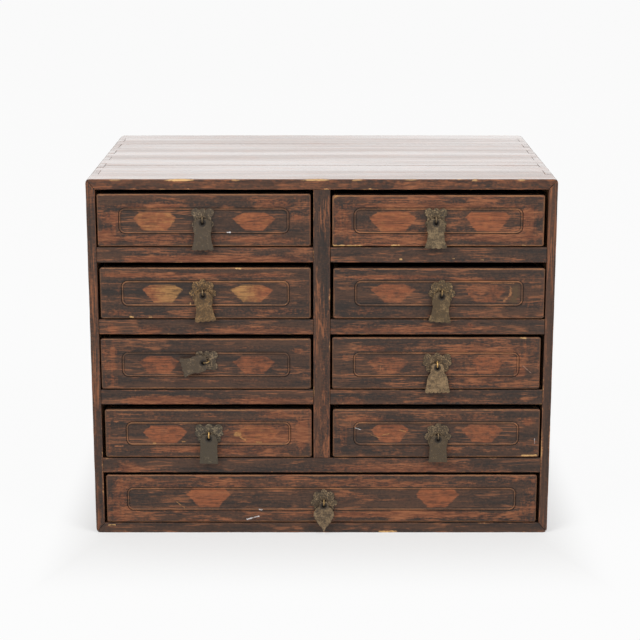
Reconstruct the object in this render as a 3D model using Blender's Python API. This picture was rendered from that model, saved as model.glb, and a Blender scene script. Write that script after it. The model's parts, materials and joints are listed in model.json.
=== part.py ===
"""Tabletop chest of drawers: dovetailed case, nine drawers on dust boards, a swinging pull on each."""
import math

import bmesh
import bpy
from mathutils import Matrix

# Case boards, in metres
CASE_W = 0.530
CASE_D = 0.360
TOP_T = 0.012
BOTTOM_T = 0.012
SIDE_T = 0.010
DIVIDER_T = 0.019
SHELF_T = 0.0175
BACK_T = 0.008
CASE_EDGE_R = 0.0045
CASE_EDGE_STEPS = 3
ROW_1_OPENING_H = 0.0660
ROW_2_OPENING_H = 0.0665
ROW_3_OPENING_H = 0.0660
ROW_4_OPENING_H = 0.0650
WIDE_OPENING_H = 0.0625

# Joinery of the case
JOINT_GAP = 0.0003
HOUSING_D = 0.004
HOUSING_STOP = 0.015
REBATE = 0.005
MITRE_L = 0.012
TAIL_COUNT = 6
TAIL_W = 0.028
TAIL_SLOPE = 0.2
TAIL_MARGIN = 0.010
CUT_PAST = 0.003

# Drawer fronts and boxes
FRONT_T = 0.013
FRONT_PROUD = 0.0005
FRONT_EDGE_R = 0.0018
FRONT_EDGE_STEPS = 2
FRONT_FOOT_GAP = 0.0012
BOX_INSET = 0.0004
BOX_WALL = 0.006
BOX_FLOOR = 0.005
BOX_TOP_DROP = 0.003
BOX_REAR_GAP = 0.004
LAP_L = 0.006

# Rounded frame line cut round the middle of each drawer front. The lines of a row are level with each other,
# so their top is measured down from the opening, and not from the front, which leaves a gap of its own
FRAME_END = 0.0255
FRAME_DROP = 0.0222
WIDE_FRAME_DROP = 0.0200
FRAME_FOOT = 0.0159
FRAME_R = 0.006
FRAME_LINE_W = 0.0012
FRAME_LINE_D = 0.0008
CORNER_STEPS = 3

# Staple: a split pin whose eye stands out of the plate and whose legs are clenched behind the front
WIRE_R = 0.0008
EYE_R = 0.0030
EYE_STEPS = 16
LEG_APART = 0.0021
LEG_CLENCH = 0.007
HOLE_SLACK = 0.0004
HOLE_STEPS = 12

# Back plates
PLATE_T = 0.001
PLATE_STEPS = 36

# Pulls
PULL_T = 0.001
PULL_ABOVE_AXIS = 0.0008
PULL_CROWN = 0.0040
PULL_EYE_DROP = 0.0018
PULL_EYE_W = 0.0046
PULL_EYE_H = 0.0048
PULL_EYE_STEPS = 12
SCALLOP_COUNT = 4
SCALLOP_D = 0.0012
SCALLOP_STEPS = 4

# Sides of the pulls: half width against distance below the axis, from the shoulder down
PULL_SIDES = {
    "bell": ((0.0075, 0.0012), (0.0098, 0.0050), (0.0104, 0.0130), (0.0092, 0.0165), (0.0100, 0.0225)),
    "flared": ((0.0068, 0.0012), (0.0076, 0.0050), (0.0080, 0.0095), (0.0112, 0.0125), (0.0122, 0.0200)),
    "straight": ((0.0072, 0.0010), (0.0094, 0.0050), (0.0104, 0.0105), (0.0099, 0.0128), (0.0104, 0.0250)),
    "heart": ((0.0052, 0.0015), (0.0056, 0.0050), (0.0098, 0.0085), (0.0118, 0.0125), (0.0120, 0.0155),
              (0.0108, 0.0190), (0.0084, 0.0235), (0.0056, 0.0280), (0.0024, 0.0325)),
}
SCALLOPED = ("bell", "flared")

# Outlines of the plates: overlapping discs as (x, z, radius) about the staple
PLATE_DISCS = {
    "cloud": ((0.0, 0.0, 0.0100), (0.0, 0.0105, 0.0040), (-0.0070, 0.0062, 0.0055), (0.0070, 0.0062, 0.0055),
              (-0.0112, -0.0018, 0.0042), (0.0112, -0.0018, 0.0042), (-0.0066, -0.0078, 0.0050),
              (0.0066, -0.0078, 0.0050)),
    "square": ((0.0, 0.0, 0.0100), (-0.0078, 0.0070, 0.0050), (0.0078, 0.0070, 0.0050), (0.0, 0.0085, 0.0035),
               (-0.0074, -0.0062, 0.0048), (0.0074, -0.0062, 0.0048)),
    "broad": ((0.0, 0.0, 0.0105), (-0.0110, 0.0070, 0.0048), (0.0110, 0.0070, 0.0048), (0.0, 0.0085, 0.0040),
              (-0.0125, 0.0010, 0.0040), (0.0125, 0.0010, 0.0040), (-0.0085, -0.0058, 0.0048),
              (0.0085, -0.0058, 0.0048)),
}

# Each drawer by column and row: gaps at the left, at the right and over its front, plate, pull, length and
# half width of the pull's foot, staple offset in x and z, lean of the pull in degrees
DRAWERS = {
    "left_1": (0.0020, 0.0030, 0.0050, "square", "bell", 0.0345, 0.0122, -0.00140, 0.0020, 0.0),
    "left_2": (0.0029, 0.0030, 0.0060, "cloud", "bell", 0.0335, 0.0122, -0.00295, 0.0023, -5.0),
    "left_3": (0.0016, 0.0029, 0.0052, "square", "bell", 0.0285, 0.0116, 0.00105, 0.0038, 76.0),
    "left_4": (0.0040, 0.0022, 0.0062, "broad", "straight", 0.0345, 0.0106, 0.00070, -0.0005, 1.0),
    "right_1": (0.0024, 0.0042, 0.0064, "square", "bell", 0.0325, 0.0125, -0.00280, 0.0027, 0.0),
    "right_2": (0.0036, 0.0016, 0.0068, "cloud", "bell", 0.0335, 0.0126, 0.00320, 0.0019, 4.0),
    "right_3": (0.0025, 0.0041, 0.0036, "broad", "flared", 0.0330, 0.0142, 0.00110, 0.0002, -1.0),
    "right_4": (0.0034, 0.0023, 0.0060, "cloud", "straight", 0.0315, 0.0110, 0.00205, -0.0017, 0.0),
    "wide": (0.0032, 0.0036, 0.0032, "cloud", "heart", 0.0360, 0.0006, 0.00270, -0.0029, 0.0),
}

# Places worked out from the sizes above
ROW_OPENINGS = {"1": ROW_1_OPENING_H, "2": ROW_2_OPENING_H, "3": ROW_3_OPENING_H, "4": ROW_4_OPENING_H}
CASE_H = BOTTOM_T + WIDE_OPENING_H + sum(ROW_OPENINGS.values()) + len(ROW_OPENINGS) * SHELF_T + TOP_T
FRONT_Y = -CASE_D / 2
BACK_Y = CASE_D / 2
PANEL_Y = BACK_Y - BACK_T
BOARD_END_Y = PANEL_Y - JOINT_GAP
INSIDE_X = CASE_W / 2 - SIDE_T
TOP_UNDER_Z = CASE_H - TOP_T
WIDE_TOP_Z = BOTTOM_T + WIDE_OPENING_H
WIDE_SHELF_TOP_Z = WIDE_TOP_Z + SHELF_T
LEG_Z = LEG_APART / 2
HOLE_R = LEG_Z + WIRE_R + HOLE_SLACK
EYE_STAND = EYE_R + WIRE_R + JOINT_GAP

# Points this close are one point
WELD = 1e-6

# An outline's own axes, for each direction that it is extruded along
PLANES = {
    "X": Matrix(((0, 0, 1), (1, 0, 0), (0, 1, 0))),
    "Y": Matrix(((1, 0, 0), (0, 0, -1), (0, 1, 0))),
    "Z": Matrix.Identity(3),
}


def clear_scene():
    for old in list(bpy.data.objects):
        bpy.data.objects.remove(old, do_unlink=True)


def collection(name):
    made = bpy.data.collections.new(name)
    bpy.context.scene.collection.children.link(made)
    return made


def finish(name, colour, roughness, metallic=0.0):
    """A material of one colour, roughness and metallic value."""
    material = bpy.data.materials.new(name)
    material.use_nodes = True
    shader = material.node_tree.nodes["Principled BSDF"]
    shader.inputs["Base Color"].default_value = (*colour, 1.0)
    shader.inputs["Roughness"].default_value = roughness
    shader.inputs["Metallic"].default_value = metallic
    return material


def add_object(name, mesh, group, location=(0, 0, 0), parent=None, material=None):
    """Put a mesh in the scene, in one of the two collections, under its parent."""
    made = bpy.data.objects.new(name, mesh)
    made.location = location
    made.parent = parent
    group.objects.link(made)
    if material:
        mesh.materials.append(material)
    return made


def add_empty(name, group, location=(0, 0, 0)):
    made = bpy.data.objects.new(name, None)
    made.location = location
    group.objects.link(made)
    return made


def mesh_of(shape, name, whole_caps=False):
    """A closed, welded mesh of a curve, which is then removed. Whole caps have no triangles."""
    holder = bpy.data.objects.new(name, shape)
    bpy.context.scene.collection.objects.link(holder)
    graph = bpy.context.evaluated_depsgraph_get()
    graph.update()
    mesh = bpy.data.meshes.new_from_object(holder.evaluated_get(graph))
    bpy.data.objects.remove(holder, do_unlink=True)
    bpy.data.curves.remove(shape)
    mesh.name = name
    work = bmesh.new()
    work.from_mesh(mesh)
    bmesh.ops.remove_doubles(work, verts=work.verts, dist=WELD)
    if whole_caps:
        level = {face: {round(vert.co.z, 6) for vert in face.verts} for face in work.faces}
        inner = [edge for edge in work.edges if all(len(level[face]) == 1 for face in edge.link_faces)]
        bmesh.ops.dissolve_edges(work, edges=inner)
    bmesh.ops.recalc_face_normals(work, faces=work.faces)
    work.to_mesh(mesh)
    work.free()
    return mesh


def flat_mesh(name, outlines, normal, low, high, holes=False):
    """Outlines extruded along an axis. With holes, the second outline lies inside the first."""
    shape = bpy.data.curves.new(name, "CURVE")
    shape.dimensions = "2D"
    shape.fill_mode = "BOTH"
    shape.extrude = (high - low) / 2
    for outline in outlines:
        spline = shape.splines.new("POLY")
        spline.points.add(len(outline) - 1)
        for point, (across, up) in zip(spline.points, outline):
            point.co = (across, up, 0, 1)
        spline.use_cyclic_u = True
    mesh = mesh_of(shape, name, whole_caps=not holes)
    middle = Matrix.Translation({"X": (1, 0, 0), "Y": (0, 1, 0), "Z": (0, 0, 1)}[normal])
    middle.translation *= (low + high) / 2
    mesh.transform(middle @ PLANES[normal].to_4x4())
    return mesh


def block_mesh(name, low, high):
    """A box between two corners."""
    mesh = bpy.data.meshes.new(name)
    work = bmesh.new()
    bmesh.ops.create_cube(work, size=1.0)
    bmesh.ops.scale(work, vec=[b - a for a, b in zip(low, high)], verts=work.verts)
    bmesh.ops.translate(work, vec=[(a + b) / 2 for a, b in zip(low, high)], verts=work.verts)
    work.to_mesh(mesh)
    work.free()
    return mesh


def cut(part, mesh, cutters, label):
    """Cut a part with a closed mesh that is given in the part's own axes."""
    cutter = add_object(f"{part.name}_{label}_cutter", mesh, cutters, part.location, part.parent)
    cutter.rotation_euler = part.rotation_euler
    cutter.hide_render = True
    cutter.display_type = "WIRE"
    step = part.modifiers.new(label, "BOOLEAN")
    step.operation = "DIFFERENCE"
    step.solver = "EXACT"
    step.object = cutter


def rectangle(x_low, z_low, x_high, z_high):
    return [(x_low, z_low), (x_high, z_low), (x_high, z_high), (x_low, z_high)]


def rounded_rectangle(x_low, z_low, x_high, z_high, radius):
    """A rectangle with round corners, anticlockwise."""
    corners = ((x_high - radius, z_high - radius), (x_low + radius, z_high - radius),
               (x_low + radius, z_low + radius), (x_high - radius, z_low + radius))
    points = []
    for quarter, (x, z) in enumerate(corners):
        for step in range(CORNER_STEPS + 1):
            turn = math.pi / 2 * (quarter + step / CORNER_STEPS)
            points.append((x + radius * math.cos(turn), z + radius * math.sin(turn)))
    return points


def ellipse(x, z, half_w, half_h, steps):
    turns = [2 * math.pi * step / steps for step in range(steps)]
    return [(x + half_w * math.cos(turn), z + half_h * math.sin(turn)) for turn in turns]


def tail_centres():
    """Places of the dovetails along the depth of the case."""
    first = FRONT_Y + MITRE_L + TAIL_MARGIN
    pitch = (PANEL_Y - TAIL_MARGIN - first) / TAIL_COUNT
    return [first + pitch * (count + 0.5) for count in range(TAIL_COUNT)]


def tail_half(from_root):
    """Half width of a tail at a distance from its root, for a board as thick as the top."""
    return TAIL_W / 2 + TAIL_SLOPE * (from_root - TOP_T)


def side_outline():
    """A side board: mitred strip at the front, then dovetails at the top and at the foot."""
    strip_y = FRONT_Y + MITRE_L - JOINT_GAP
    upper = TOP_UNDER_Z - JOINT_GAP
    lower = BOTTOM_T + JOINT_GAP
    points = [(FRONT_Y, 0), (FRONT_Y, CASE_H), (strip_y, CASE_H), (strip_y, upper)]
    for y in tail_centres():
        root, tip = tail_half(0), tail_half(TOP_T)
        points += [(y - root, upper), (y - tip, CASE_H), (y + tip, CASE_H), (y + root, upper)]
    points += [(BACK_Y, upper), (BACK_Y, lower)]
    for y in reversed(tail_centres()):
        root, tip = tail_half(0), tail_half(BOTTOM_T)
        points += [(y + root, lower), (y + tip, 0), (y - tip, 0), (y - root, lower)]
    return points + [(strip_y, lower), (strip_y, 0)]


def socket_outlines(root_z, away):
    """Sockets for the tails in the top (away is 1) or the bottom (away is -1), run past both faces."""
    thick = TOP_T if away > 0 else BOTTOM_T
    near, far = tail_half(-CUT_PAST) + JOINT_GAP, tail_half(thick + CUT_PAST) + JOINT_GAP
    z_near, z_far = root_z - away * CUT_PAST, root_z + away * (thick + CUT_PAST)
    return [[(y - near, z_near), (y + near, z_near), (y + far, z_far), (y - far, z_far)]
            for y in tail_centres()]


def mitre_outline(x_sign, inner_z, outer_z, toward_side):
    """What a mitre takes off a board end: the part of the corner that lies towards the other board."""
    rise = outer_z - inner_z
    length = math.hypot(SIDE_T, rise)
    along = (x_sign * SIDE_T / length, rise / length)
    out = (x_sign * abs(rise) / length, -math.copysign(SIDE_T / length, rise))
    if not toward_side:
        out = (-out[0], -out[1])
    inner = (x_sign * INSIDE_X, inner_z)
    outer = (x_sign * CASE_W / 2, outer_z)
    start = [inner[i] - along[i] * CUT_PAST - out[i] * JOINT_GAP / 2 for i in (0, 1)]
    end = [outer[i] + along[i] * CUT_PAST - out[i] * JOINT_GAP / 2 for i in (0, 1)]
    reach = SIDE_T + abs(rise)
    far_end = [end[i] + out[i] * reach for i in (0, 1)]
    far_start = [start[i] + out[i] * reach for i in (0, 1)]
    return [start, end, far_end, far_start]


def edge_outline(x_sign, z_edge, z_sign):
    """What rounding takes off one of the four long edges of the case."""
    middle_x = x_sign * (CASE_W / 2 - CASE_EDGE_R)
    middle_z = z_edge - z_sign * CASE_EDGE_R
    turns = [math.pi / 2 * step / CASE_EDGE_STEPS for step in range(CASE_EDGE_STEPS + 1)]
    across, up = x_sign * CASE_EDGE_R, z_sign * CASE_EDGE_R
    arc = [(middle_x + across * math.sin(turn), middle_z + up * math.cos(turn)) for turn in turns]
    past_x = x_sign * (CASE_W / 2 + CUT_PAST)
    past_z = z_edge + z_sign * CUT_PAST
    return arc + [(past_x, middle_z), (past_x, past_z), (middle_x, past_z)]


def round_edge(board, x_sign, z_edge, z_sign, cutters, label):
    outline = edge_outline(x_sign, z_edge, z_sign)
    mesh = flat_mesh("edge", [outline], "Y", FRONT_Y - CUT_PAST, BACK_Y + CUT_PAST)
    cut(board, mesh, cutters, f"{label}_edge")


def mitre_mesh(x_sign, inner_z, outer_z, toward_side):
    outline = mitre_outline(x_sign, inner_z, outer_z, toward_side)
    return flat_mesh("mitre", [outline], "Y", FRONT_Y - CUT_PAST, FRONT_Y + MITRE_L)


def add_end_board(name, inner_z, outer_z, group, cutters, case, material):
    """The top or the bottom: sockets and mitres at both ends, and a rebate for the back panel."""
    away = 1 if outer_z > inner_z else -1
    low, high = sorted((inner_z, outer_z))
    mesh = block_mesh(name, (-CASE_W / 2, FRONT_Y, low), (CASE_W / 2, BACK_Y, high))
    board = add_object(name, mesh, group, parent=case, material=material)
    for label, sign in (("left", -1), ("right", 1)):
        ends = sorted((sign * (INSIDE_X - JOINT_GAP), sign * (CASE_W / 2 + CUT_PAST)))
        sockets = flat_mesh("sockets", socket_outlines(inner_z, away), "X", *ends)
        cut(board, sockets, cutters, f"{label}_sockets")
        cut(board, mitre_mesh(sign, inner_z, outer_z, True), cutters, f"{label}_mitre")
        round_edge(board, sign, outer_z, away, cutters, label)
    rebate_x = INSIDE_X + REBATE
    rebate_z = sorted((inner_z - away * CUT_PAST, inner_z + away * REBATE))
    rebate = block_mesh("rebate", (-rebate_x, PANEL_Y - JOINT_GAP, rebate_z[0]),
                        (rebate_x, BACK_Y + CUT_PAST, rebate_z[1]))
    cut(board, rebate, cutters, "rebate")
    return board


def shelf_heights():
    """The underside of each row's shelf, from the top row down to the shelf over the wide drawer."""
    heights = {}
    z = TOP_UNDER_Z
    for row, opening in ROW_OPENINGS.items():
        z -= opening + SHELF_T
        heights[row] = z
    return heights


def housing_mesh(x_face, into, z):
    """A stopped housing for a shelf end, cut into an upright from one of its faces."""
    xs = sorted((x_face - into * CUT_PAST, x_face + into * (HOUSING_D + JOINT_GAP)))
    return block_mesh("housing", (xs[0], FRONT_Y + HOUSING_STOP, z - JOINT_GAP),
                      (xs[1], PANEL_Y + CUT_PAST, z + SHELF_T + JOINT_GAP))


def add_side(name, sign, group, cutters, case, material):
    """A side board with its tails, mitres, shelf housings and back rebate."""
    ends = sorted((sign * INSIDE_X, sign * CASE_W / 2))
    mesh = flat_mesh(name, [side_outline()], "X", *ends)
    side = add_object(name, mesh, group, parent=case, material=material)
    for label, inner_z, outer_z, away in (("upper", TOP_UNDER_Z, CASE_H, 1), ("lower", BOTTOM_T, 0, -1)):
        cut(side, mitre_mesh(sign, inner_z, outer_z, False), cutters, f"{label}_mitre")
        round_edge(side, sign, outer_z, away, cutters, label)
    for row, z in shelf_heights().items():
        cut(side, housing_mesh(sign * INSIDE_X, sign, z), cutters, f"housing_{row}")
    rebate_x = sorted((sign * (INSIDE_X - CUT_PAST), sign * (INSIDE_X + REBATE)))
    rebate = block_mesh("rebate", (rebate_x[0], PANEL_Y - JOINT_GAP, -CUT_PAST),
                        (rebate_x[1], BACK_Y + CUT_PAST, CASE_H + CUT_PAST))
    cut(side, rebate, cutters, "rebate")


def shelf_outline(x_low, x_high):
    """A shelf between two uprights: narrow at the front, then let into its housings."""
    stop_y = FRONT_Y + HOUSING_STOP + JOINT_GAP
    near_low, near_high = x_low + JOINT_GAP, x_high - JOINT_GAP
    far_low, far_high = x_low - HOUSING_D, x_high + HOUSING_D
    return [(near_low, FRONT_Y), (near_high, FRONT_Y), (near_high, stop_y), (far_high, stop_y),
            (far_high, BOARD_END_Y), (far_low, BOARD_END_Y), (far_low, stop_y), (near_low, stop_y)]


def add_shelf(name, x_low, x_high, z, group, case, material):
    mesh = flat_mesh(name, [shelf_outline(x_low, x_high)], "Z", z, z + SHELF_T)
    return add_object(name, mesh, group, parent=case, material=material)


def divider_outline():
    stop_y = FRONT_Y + HOUSING_STOP + JOINT_GAP
    near_low, near_high = WIDE_SHELF_TOP_Z + JOINT_GAP, TOP_UNDER_Z - JOINT_GAP
    far_low, far_high = WIDE_SHELF_TOP_Z - HOUSING_D, TOP_UNDER_Z + HOUSING_D
    return [(FRONT_Y, near_low), (stop_y, near_low), (stop_y, far_low), (BOARD_END_Y, far_low),
            (BOARD_END_Y, far_high), (stop_y, far_high), (stop_y, near_high), (FRONT_Y, near_high)]


def divider_housing_mesh(z_face, into):
    """The housing that holds one end of the divider, cut up into the top or down into the wide shelf."""
    half = DIVIDER_T / 2 + JOINT_GAP
    zs = sorted((z_face - into * CUT_PAST, z_face + into * (HOUSING_D + JOINT_GAP)))
    return block_mesh("housing", (-half, FRONT_Y + HOUSING_STOP, zs[0]), (half, PANEL_Y + CUT_PAST, zs[1]))


def add_case(group, cutters, lacquer, bare):
    """Top, bottom, sides, divider, dust boards and back panel."""
    case = add_empty("case", group)
    top = add_end_board("case_top", TOP_UNDER_Z, CASE_H, group, cutters, case, lacquer)
    cut(top, divider_housing_mesh(TOP_UNDER_Z, 1), cutters, "divider_housing")
    add_end_board("case_bottom", BOTTOM_T, 0, group, cutters, case, lacquer)
    add_side("side_left", -1, group, cutters, case, lacquer)
    add_side("side_right", 1, group, cutters, case, lacquer)

    half = DIVIDER_T / 2
    mesh = flat_mesh("centre_divider", [divider_outline()], "X", -half, half)
    divider = add_object("centre_divider", mesh, group, parent=case, material=lacquer)
    *upper, (_, wide_z) = shelf_heights().items()
    for row, z in upper:
        cut(divider, housing_mesh(-half, 1, z), cutters, f"left_housing_{row}")
        cut(divider, housing_mesh(half, -1, z), cutters, f"right_housing_{row}")
        add_shelf(f"shelf_left_{row}", -INSIDE_X, -half, z, group, case, lacquer)
        add_shelf(f"shelf_right_{row}", half, INSIDE_X, z, group, case, lacquer)
    wide = add_shelf("shelf_wide", -INSIDE_X, INSIDE_X, wide_z, group, case, lacquer)
    cut(wide, divider_housing_mesh(WIDE_SHELF_TOP_Z, -1), cutters, "divider_housing")

    reach = REBATE - JOINT_GAP
    panel = block_mesh("back_panel", (-INSIDE_X - reach, PANEL_Y, BOTTOM_T - reach),
                       (INSIDE_X + reach, BACK_Y, TOP_UNDER_Z + reach))
    add_object("back_panel", panel, group, parent=case, material=bare)


def opening_of(column, row):
    """The opening that a drawer fills, as x_low, z_low, x_high, z_high."""
    if column == "wide":
        return -INSIDE_X, BOTTOM_T, INSIDE_X, WIDE_TOP_Z
    z_low = shelf_heights()[row] + SHELF_T
    z_high = z_low + ROW_OPENINGS[row]
    if column == "left":
        return -INSIDE_X, z_low, -DIVIDER_T / 2, z_high
    return DIVIDER_T / 2, z_low, INSIDE_X, z_high


def front_mesh(name, half_w, half_h):
    """A drawer front, rounded over along the four edges that show."""
    mesh = block_mesh(name, (-half_w, 0, -half_h), (half_w, FRONT_T, half_h))
    work = bmesh.new()
    work.from_mesh(mesh)
    showing = [edge for edge in work.edges if all(abs(vert.co.y) < FRONT_T / 2 for vert in edge.verts)]
    bmesh.ops.bevel(work, geom=showing, offset=FRONT_EDGE_R, segments=FRONT_EDGE_STEPS, profile=0.5,
                    affect="EDGES", material=-1)
    work.to_mesh(mesh)
    work.free()
    return mesh


def add_front(name, half_w, half_h, frame_top, staple_x, staple_z, group, cutters, drawer, material):
    """A drawer front: laps for the box sides, the frame line and the staple's hole."""
    front = add_object(name, front_mesh(name, half_w, half_h), group, parent=drawer, material=material)
    for label, sign in (("left", -1), ("right", 1)):
        xs = sorted((sign * (half_w - BOX_INSET - BOX_WALL - JOINT_GAP), sign * (half_w + CUT_PAST)))
        lap = block_mesh("lap", (xs[0], FRONT_T - LAP_L - JOINT_GAP, -half_h - CUT_PAST),
                         (xs[1], FRONT_T + CUT_PAST, half_h + CUT_PAST))
        cut(front, lap, cutters, f"{label}_lap")
    edge = (-half_w + FRAME_END, -half_h + FRAME_FOOT, half_w - FRAME_END, frame_top)
    line = FRAME_LINE_W
    inner = (edge[0] + line, edge[1] + line, edge[2] - line, edge[3] - line)
    outlines = [rounded_rectangle(*edge, FRAME_R), rounded_rectangle(*inner, FRAME_R - line)]
    cut(front, flat_mesh("frame", outlines, "Y", -CUT_PAST, FRAME_LINE_D, True), cutters, "frame_line")
    hole = ellipse(staple_x, staple_z, HOLE_R, HOLE_R, HOLE_STEPS)
    cut(front, flat_mesh("hole", [hole], "Y", -CUT_PAST, FRONT_T + CUT_PAST), cutters, "staple_hole")


def add_box(name, half_w, half_h, group, cutters, drawer, material):
    """Sides, back and bottom of a drawer. The sides run forward into the laps of the front."""
    half_box = half_w - BOX_INSET
    floor_z = -half_h - FRONT_FOOT_GAP + JOINT_GAP
    rim_z = half_h - BOX_TOP_DROP
    start_y = FRONT_T + JOINT_GAP
    rear_y = PANEL_Y - BOX_REAR_GAP - (FRONT_Y - FRONT_PROUD)
    mesh = block_mesh(name, (-half_box, FRONT_T - LAP_L, floor_z), (half_box, rear_y, rim_z))
    box = add_object(name, mesh, group, parent=drawer, material=material)
    inside = half_box - BOX_WALL
    hollow = block_mesh("hollow", (-inside, FRONT_T - LAP_L - CUT_PAST, floor_z + BOX_FLOOR),
                        (inside, rear_y - BOX_WALL, rim_z + CUT_PAST))
    cut(box, hollow, cutters, "hollow")
    lip = block_mesh("lip", (-inside, FRONT_T - LAP_L - CUT_PAST, floor_z - CUT_PAST),
                     (inside, start_y, floor_z + BOX_FLOOR + CUT_PAST))
    cut(box, lip, cutters, "floor_end")


def disc_union(discs):
    """Outline of overlapping discs that can all be seen from the middle, with the staple's hole."""
    points = []
    for step in range(PLATE_STEPS):
        turn = 2 * math.pi * step / PLATE_STEPS
        reach = 0.0
        for x, z, radius in discs:
            forward = x * math.cos(turn) + z * math.sin(turn)
            inside = radius ** 2 - x ** 2 - z ** 2 + forward ** 2
            if inside >= 0:
                reach = max(reach, forward + math.sqrt(inside))
        points.append((reach * math.cos(turn), reach * math.sin(turn)))
    return points


def plate_outlines(kind):
    return [disc_union(PLATE_DISCS[kind]), ellipse(0, 0, HOLE_R, HOLE_R, HOLE_STEPS)]


def pull_outlines(kind, length, end):
    """Outline of a pull about its axis, hanging down, and the eye that the staple passes through."""
    side = [(half, -drop) for half, drop in PULL_SIDES[kind]]
    right = [(PULL_CROWN, PULL_ABOVE_AXIS)] + side + [(end, -length)]
    foot = []
    if kind in SCALLOPED:
        scallop = 2 * end / SCALLOP_COUNT
        for step in range(1, SCALLOP_COUNT * SCALLOP_STEPS):
            along = step / SCALLOP_STEPS
            depth = SCALLOP_D * abs(math.sin(math.pi * along))
            foot.append((end - scallop * along, -length - depth))
    left = [(-half, z) for half, z in reversed(right)]
    eye_z = -PULL_EYE_DROP - PULL_EYE_H / 2
    eye = ellipse(0, eye_z, PULL_EYE_W / 2, PULL_EYE_H / 2, PULL_EYE_STEPS)
    return [right + foot + left, eye]


def staple_mesh(name):
    """The split pin, in the plane across its pull's axis: round eye, two legs, ends bent over."""
    wire = bpy.data.curves.new(name, "CURVE")
    wire.dimensions = "3D"
    wire.bevel_depth = WIRE_R
    wire.bevel_resolution = 1
    wire.use_fill_caps = True
    start = math.asin(LEG_Z / EYE_R)
    sweep = 2 * math.pi - 2 * start
    turns = [start + sweep * step / EYE_STEPS for step in range(EYE_STEPS + 1)]
    eye = [(EYE_R * math.cos(turn), EYE_R * math.sin(turn)) for turn in turns]
    bend_y = EYE_STAND + PLATE_T + FRONT_T + 2 * JOINT_GAP + WIRE_R
    upper = [(bend_y, LEG_Z + LEG_CLENCH), (bend_y, LEG_Z)]
    lower = [(y, -z) for y, z in reversed(upper)]
    route = upper + eye + lower
    spline = wire.splines.new("POLY")
    spline.points.add(len(route) - 1)
    for point, (y, z) in zip(spline.points, route):
        point.co = (0, y, z, 1)
    return mesh_of(wire, name)


def add_drawer(name, layout, group, cutters, finishes):
    """One drawer and its fittings, under an empty in the middle of its front face."""
    left_gap, right_gap, top_gap, plate_kind, pull_kind, length, foot_half, staple_x, staple_z, lean = layout
    column, _, row = name.partition("_")
    x_low, z_low, x_high, z_high = opening_of(column, row)
    half_w = (x_high - x_low - left_gap - right_gap) / 2
    half_h = (z_high - z_low - FRONT_FOOT_GAP - top_gap) / 2
    middle = (x_low + left_gap + half_w, FRONT_Y - FRONT_PROUD, z_low + FRONT_FOOT_GAP + half_h)
    drawer = add_empty(f"drawer_{name}", group, middle)
    label = f"drawer_{name}"
    frame_top = half_h + top_gap - (FRAME_DROP if row else WIDE_FRAME_DROP)
    add_front(f"{label}_front", half_w, half_h, frame_top, staple_x, staple_z, group, cutters, drawer,
              finishes["front"])
    add_box(f"{label}_box", half_w, half_h, group, cutters, drawer, finishes["bare"])

    plate_face = -JOINT_GAP - PLATE_T
    plate = flat_mesh(f"{label}_plate", plate_outlines(plate_kind), "Y", plate_face, -JOINT_GAP, True)
    add_object(f"{label}_plate", plate, group, (staple_x, 0, staple_z), drawer, finishes["plate"])
    axis = (staple_x, plate_face - EYE_STAND, staple_z)
    outlines = pull_outlines(pull_kind, length, foot_half)
    pull = flat_mesh(f"{label}_pull", outlines, "Y", -PULL_T / 2, PULL_T / 2, True)
    swing = (0, math.radians(lean), 0)
    for part, mesh in (("staple", staple_mesh(f"{label}_staple")), ("pull", pull)):
        fitting = add_object(f"{label}_{part}", mesh, group, axis, drawer, finishes[part])
        fitting.rotation_euler = swing


def main():
    clear_scene()
    group = collection("tabletop_chest_of_drawers")
    cutters = collection("cutters")
    finishes = {
        "lacquer": finish("case_lacquer", (0.075, 0.035, 0.024), 0.45),
        "front": finish("drawer_lacquer", (0.110, 0.045, 0.026), 0.50),
        "bare": finish("bare_softwood", (0.330, 0.190, 0.095), 0.75),
        "plate": finish("plate_brass", (0.150, 0.115, 0.070), 0.50, 0.8),
        "staple": finish("staple_brass", (0.360, 0.240, 0.100), 0.40, 0.9),
        "pull": finish("pull_brass", (0.200, 0.155, 0.095), 0.45, 0.8),
    }
    add_case(group, cutters, finishes["lacquer"], finishes["bare"])
    for name, layout in DRAWERS.items():
        add_drawer(name, layout, group, cutters, finishes)


main()
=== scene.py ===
"""Looks of a tabletop chest of drawers: worn lacquer on softwood, moulded drawer fronts, old brass pulls."""
import json
import math
from typing import NamedTuple

import bmesh
import bpy
from bpy.props import FloatProperty, FloatVectorProperty, IntProperty, PointerProperty
from mathutils import Matrix, Vector, noise


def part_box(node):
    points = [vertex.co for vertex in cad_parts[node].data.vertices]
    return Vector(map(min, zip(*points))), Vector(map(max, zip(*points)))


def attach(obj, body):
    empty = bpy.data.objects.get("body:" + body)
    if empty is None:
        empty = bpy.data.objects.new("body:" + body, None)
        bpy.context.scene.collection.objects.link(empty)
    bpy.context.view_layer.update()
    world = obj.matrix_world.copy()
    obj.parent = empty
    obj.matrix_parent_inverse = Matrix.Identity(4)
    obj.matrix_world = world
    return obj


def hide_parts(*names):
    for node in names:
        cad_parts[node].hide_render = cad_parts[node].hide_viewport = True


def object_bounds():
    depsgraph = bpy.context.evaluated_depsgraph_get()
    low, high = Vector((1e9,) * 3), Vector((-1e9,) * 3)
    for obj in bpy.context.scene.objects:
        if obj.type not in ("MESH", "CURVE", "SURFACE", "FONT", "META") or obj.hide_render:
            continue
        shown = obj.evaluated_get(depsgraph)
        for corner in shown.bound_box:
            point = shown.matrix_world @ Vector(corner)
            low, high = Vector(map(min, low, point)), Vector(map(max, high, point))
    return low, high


bl_info = {
    "name": "Tabletop Chest of Drawers",
    "version": (1, 0, 0),
    "blender": (4, 5, 0),
    "location": "View3D > Sidebar > Chest",
    "description": "Dresses the chest: lacquered boards, moulded drawers, brass fittings and a studio stage",
    "category": "Object",
}

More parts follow.
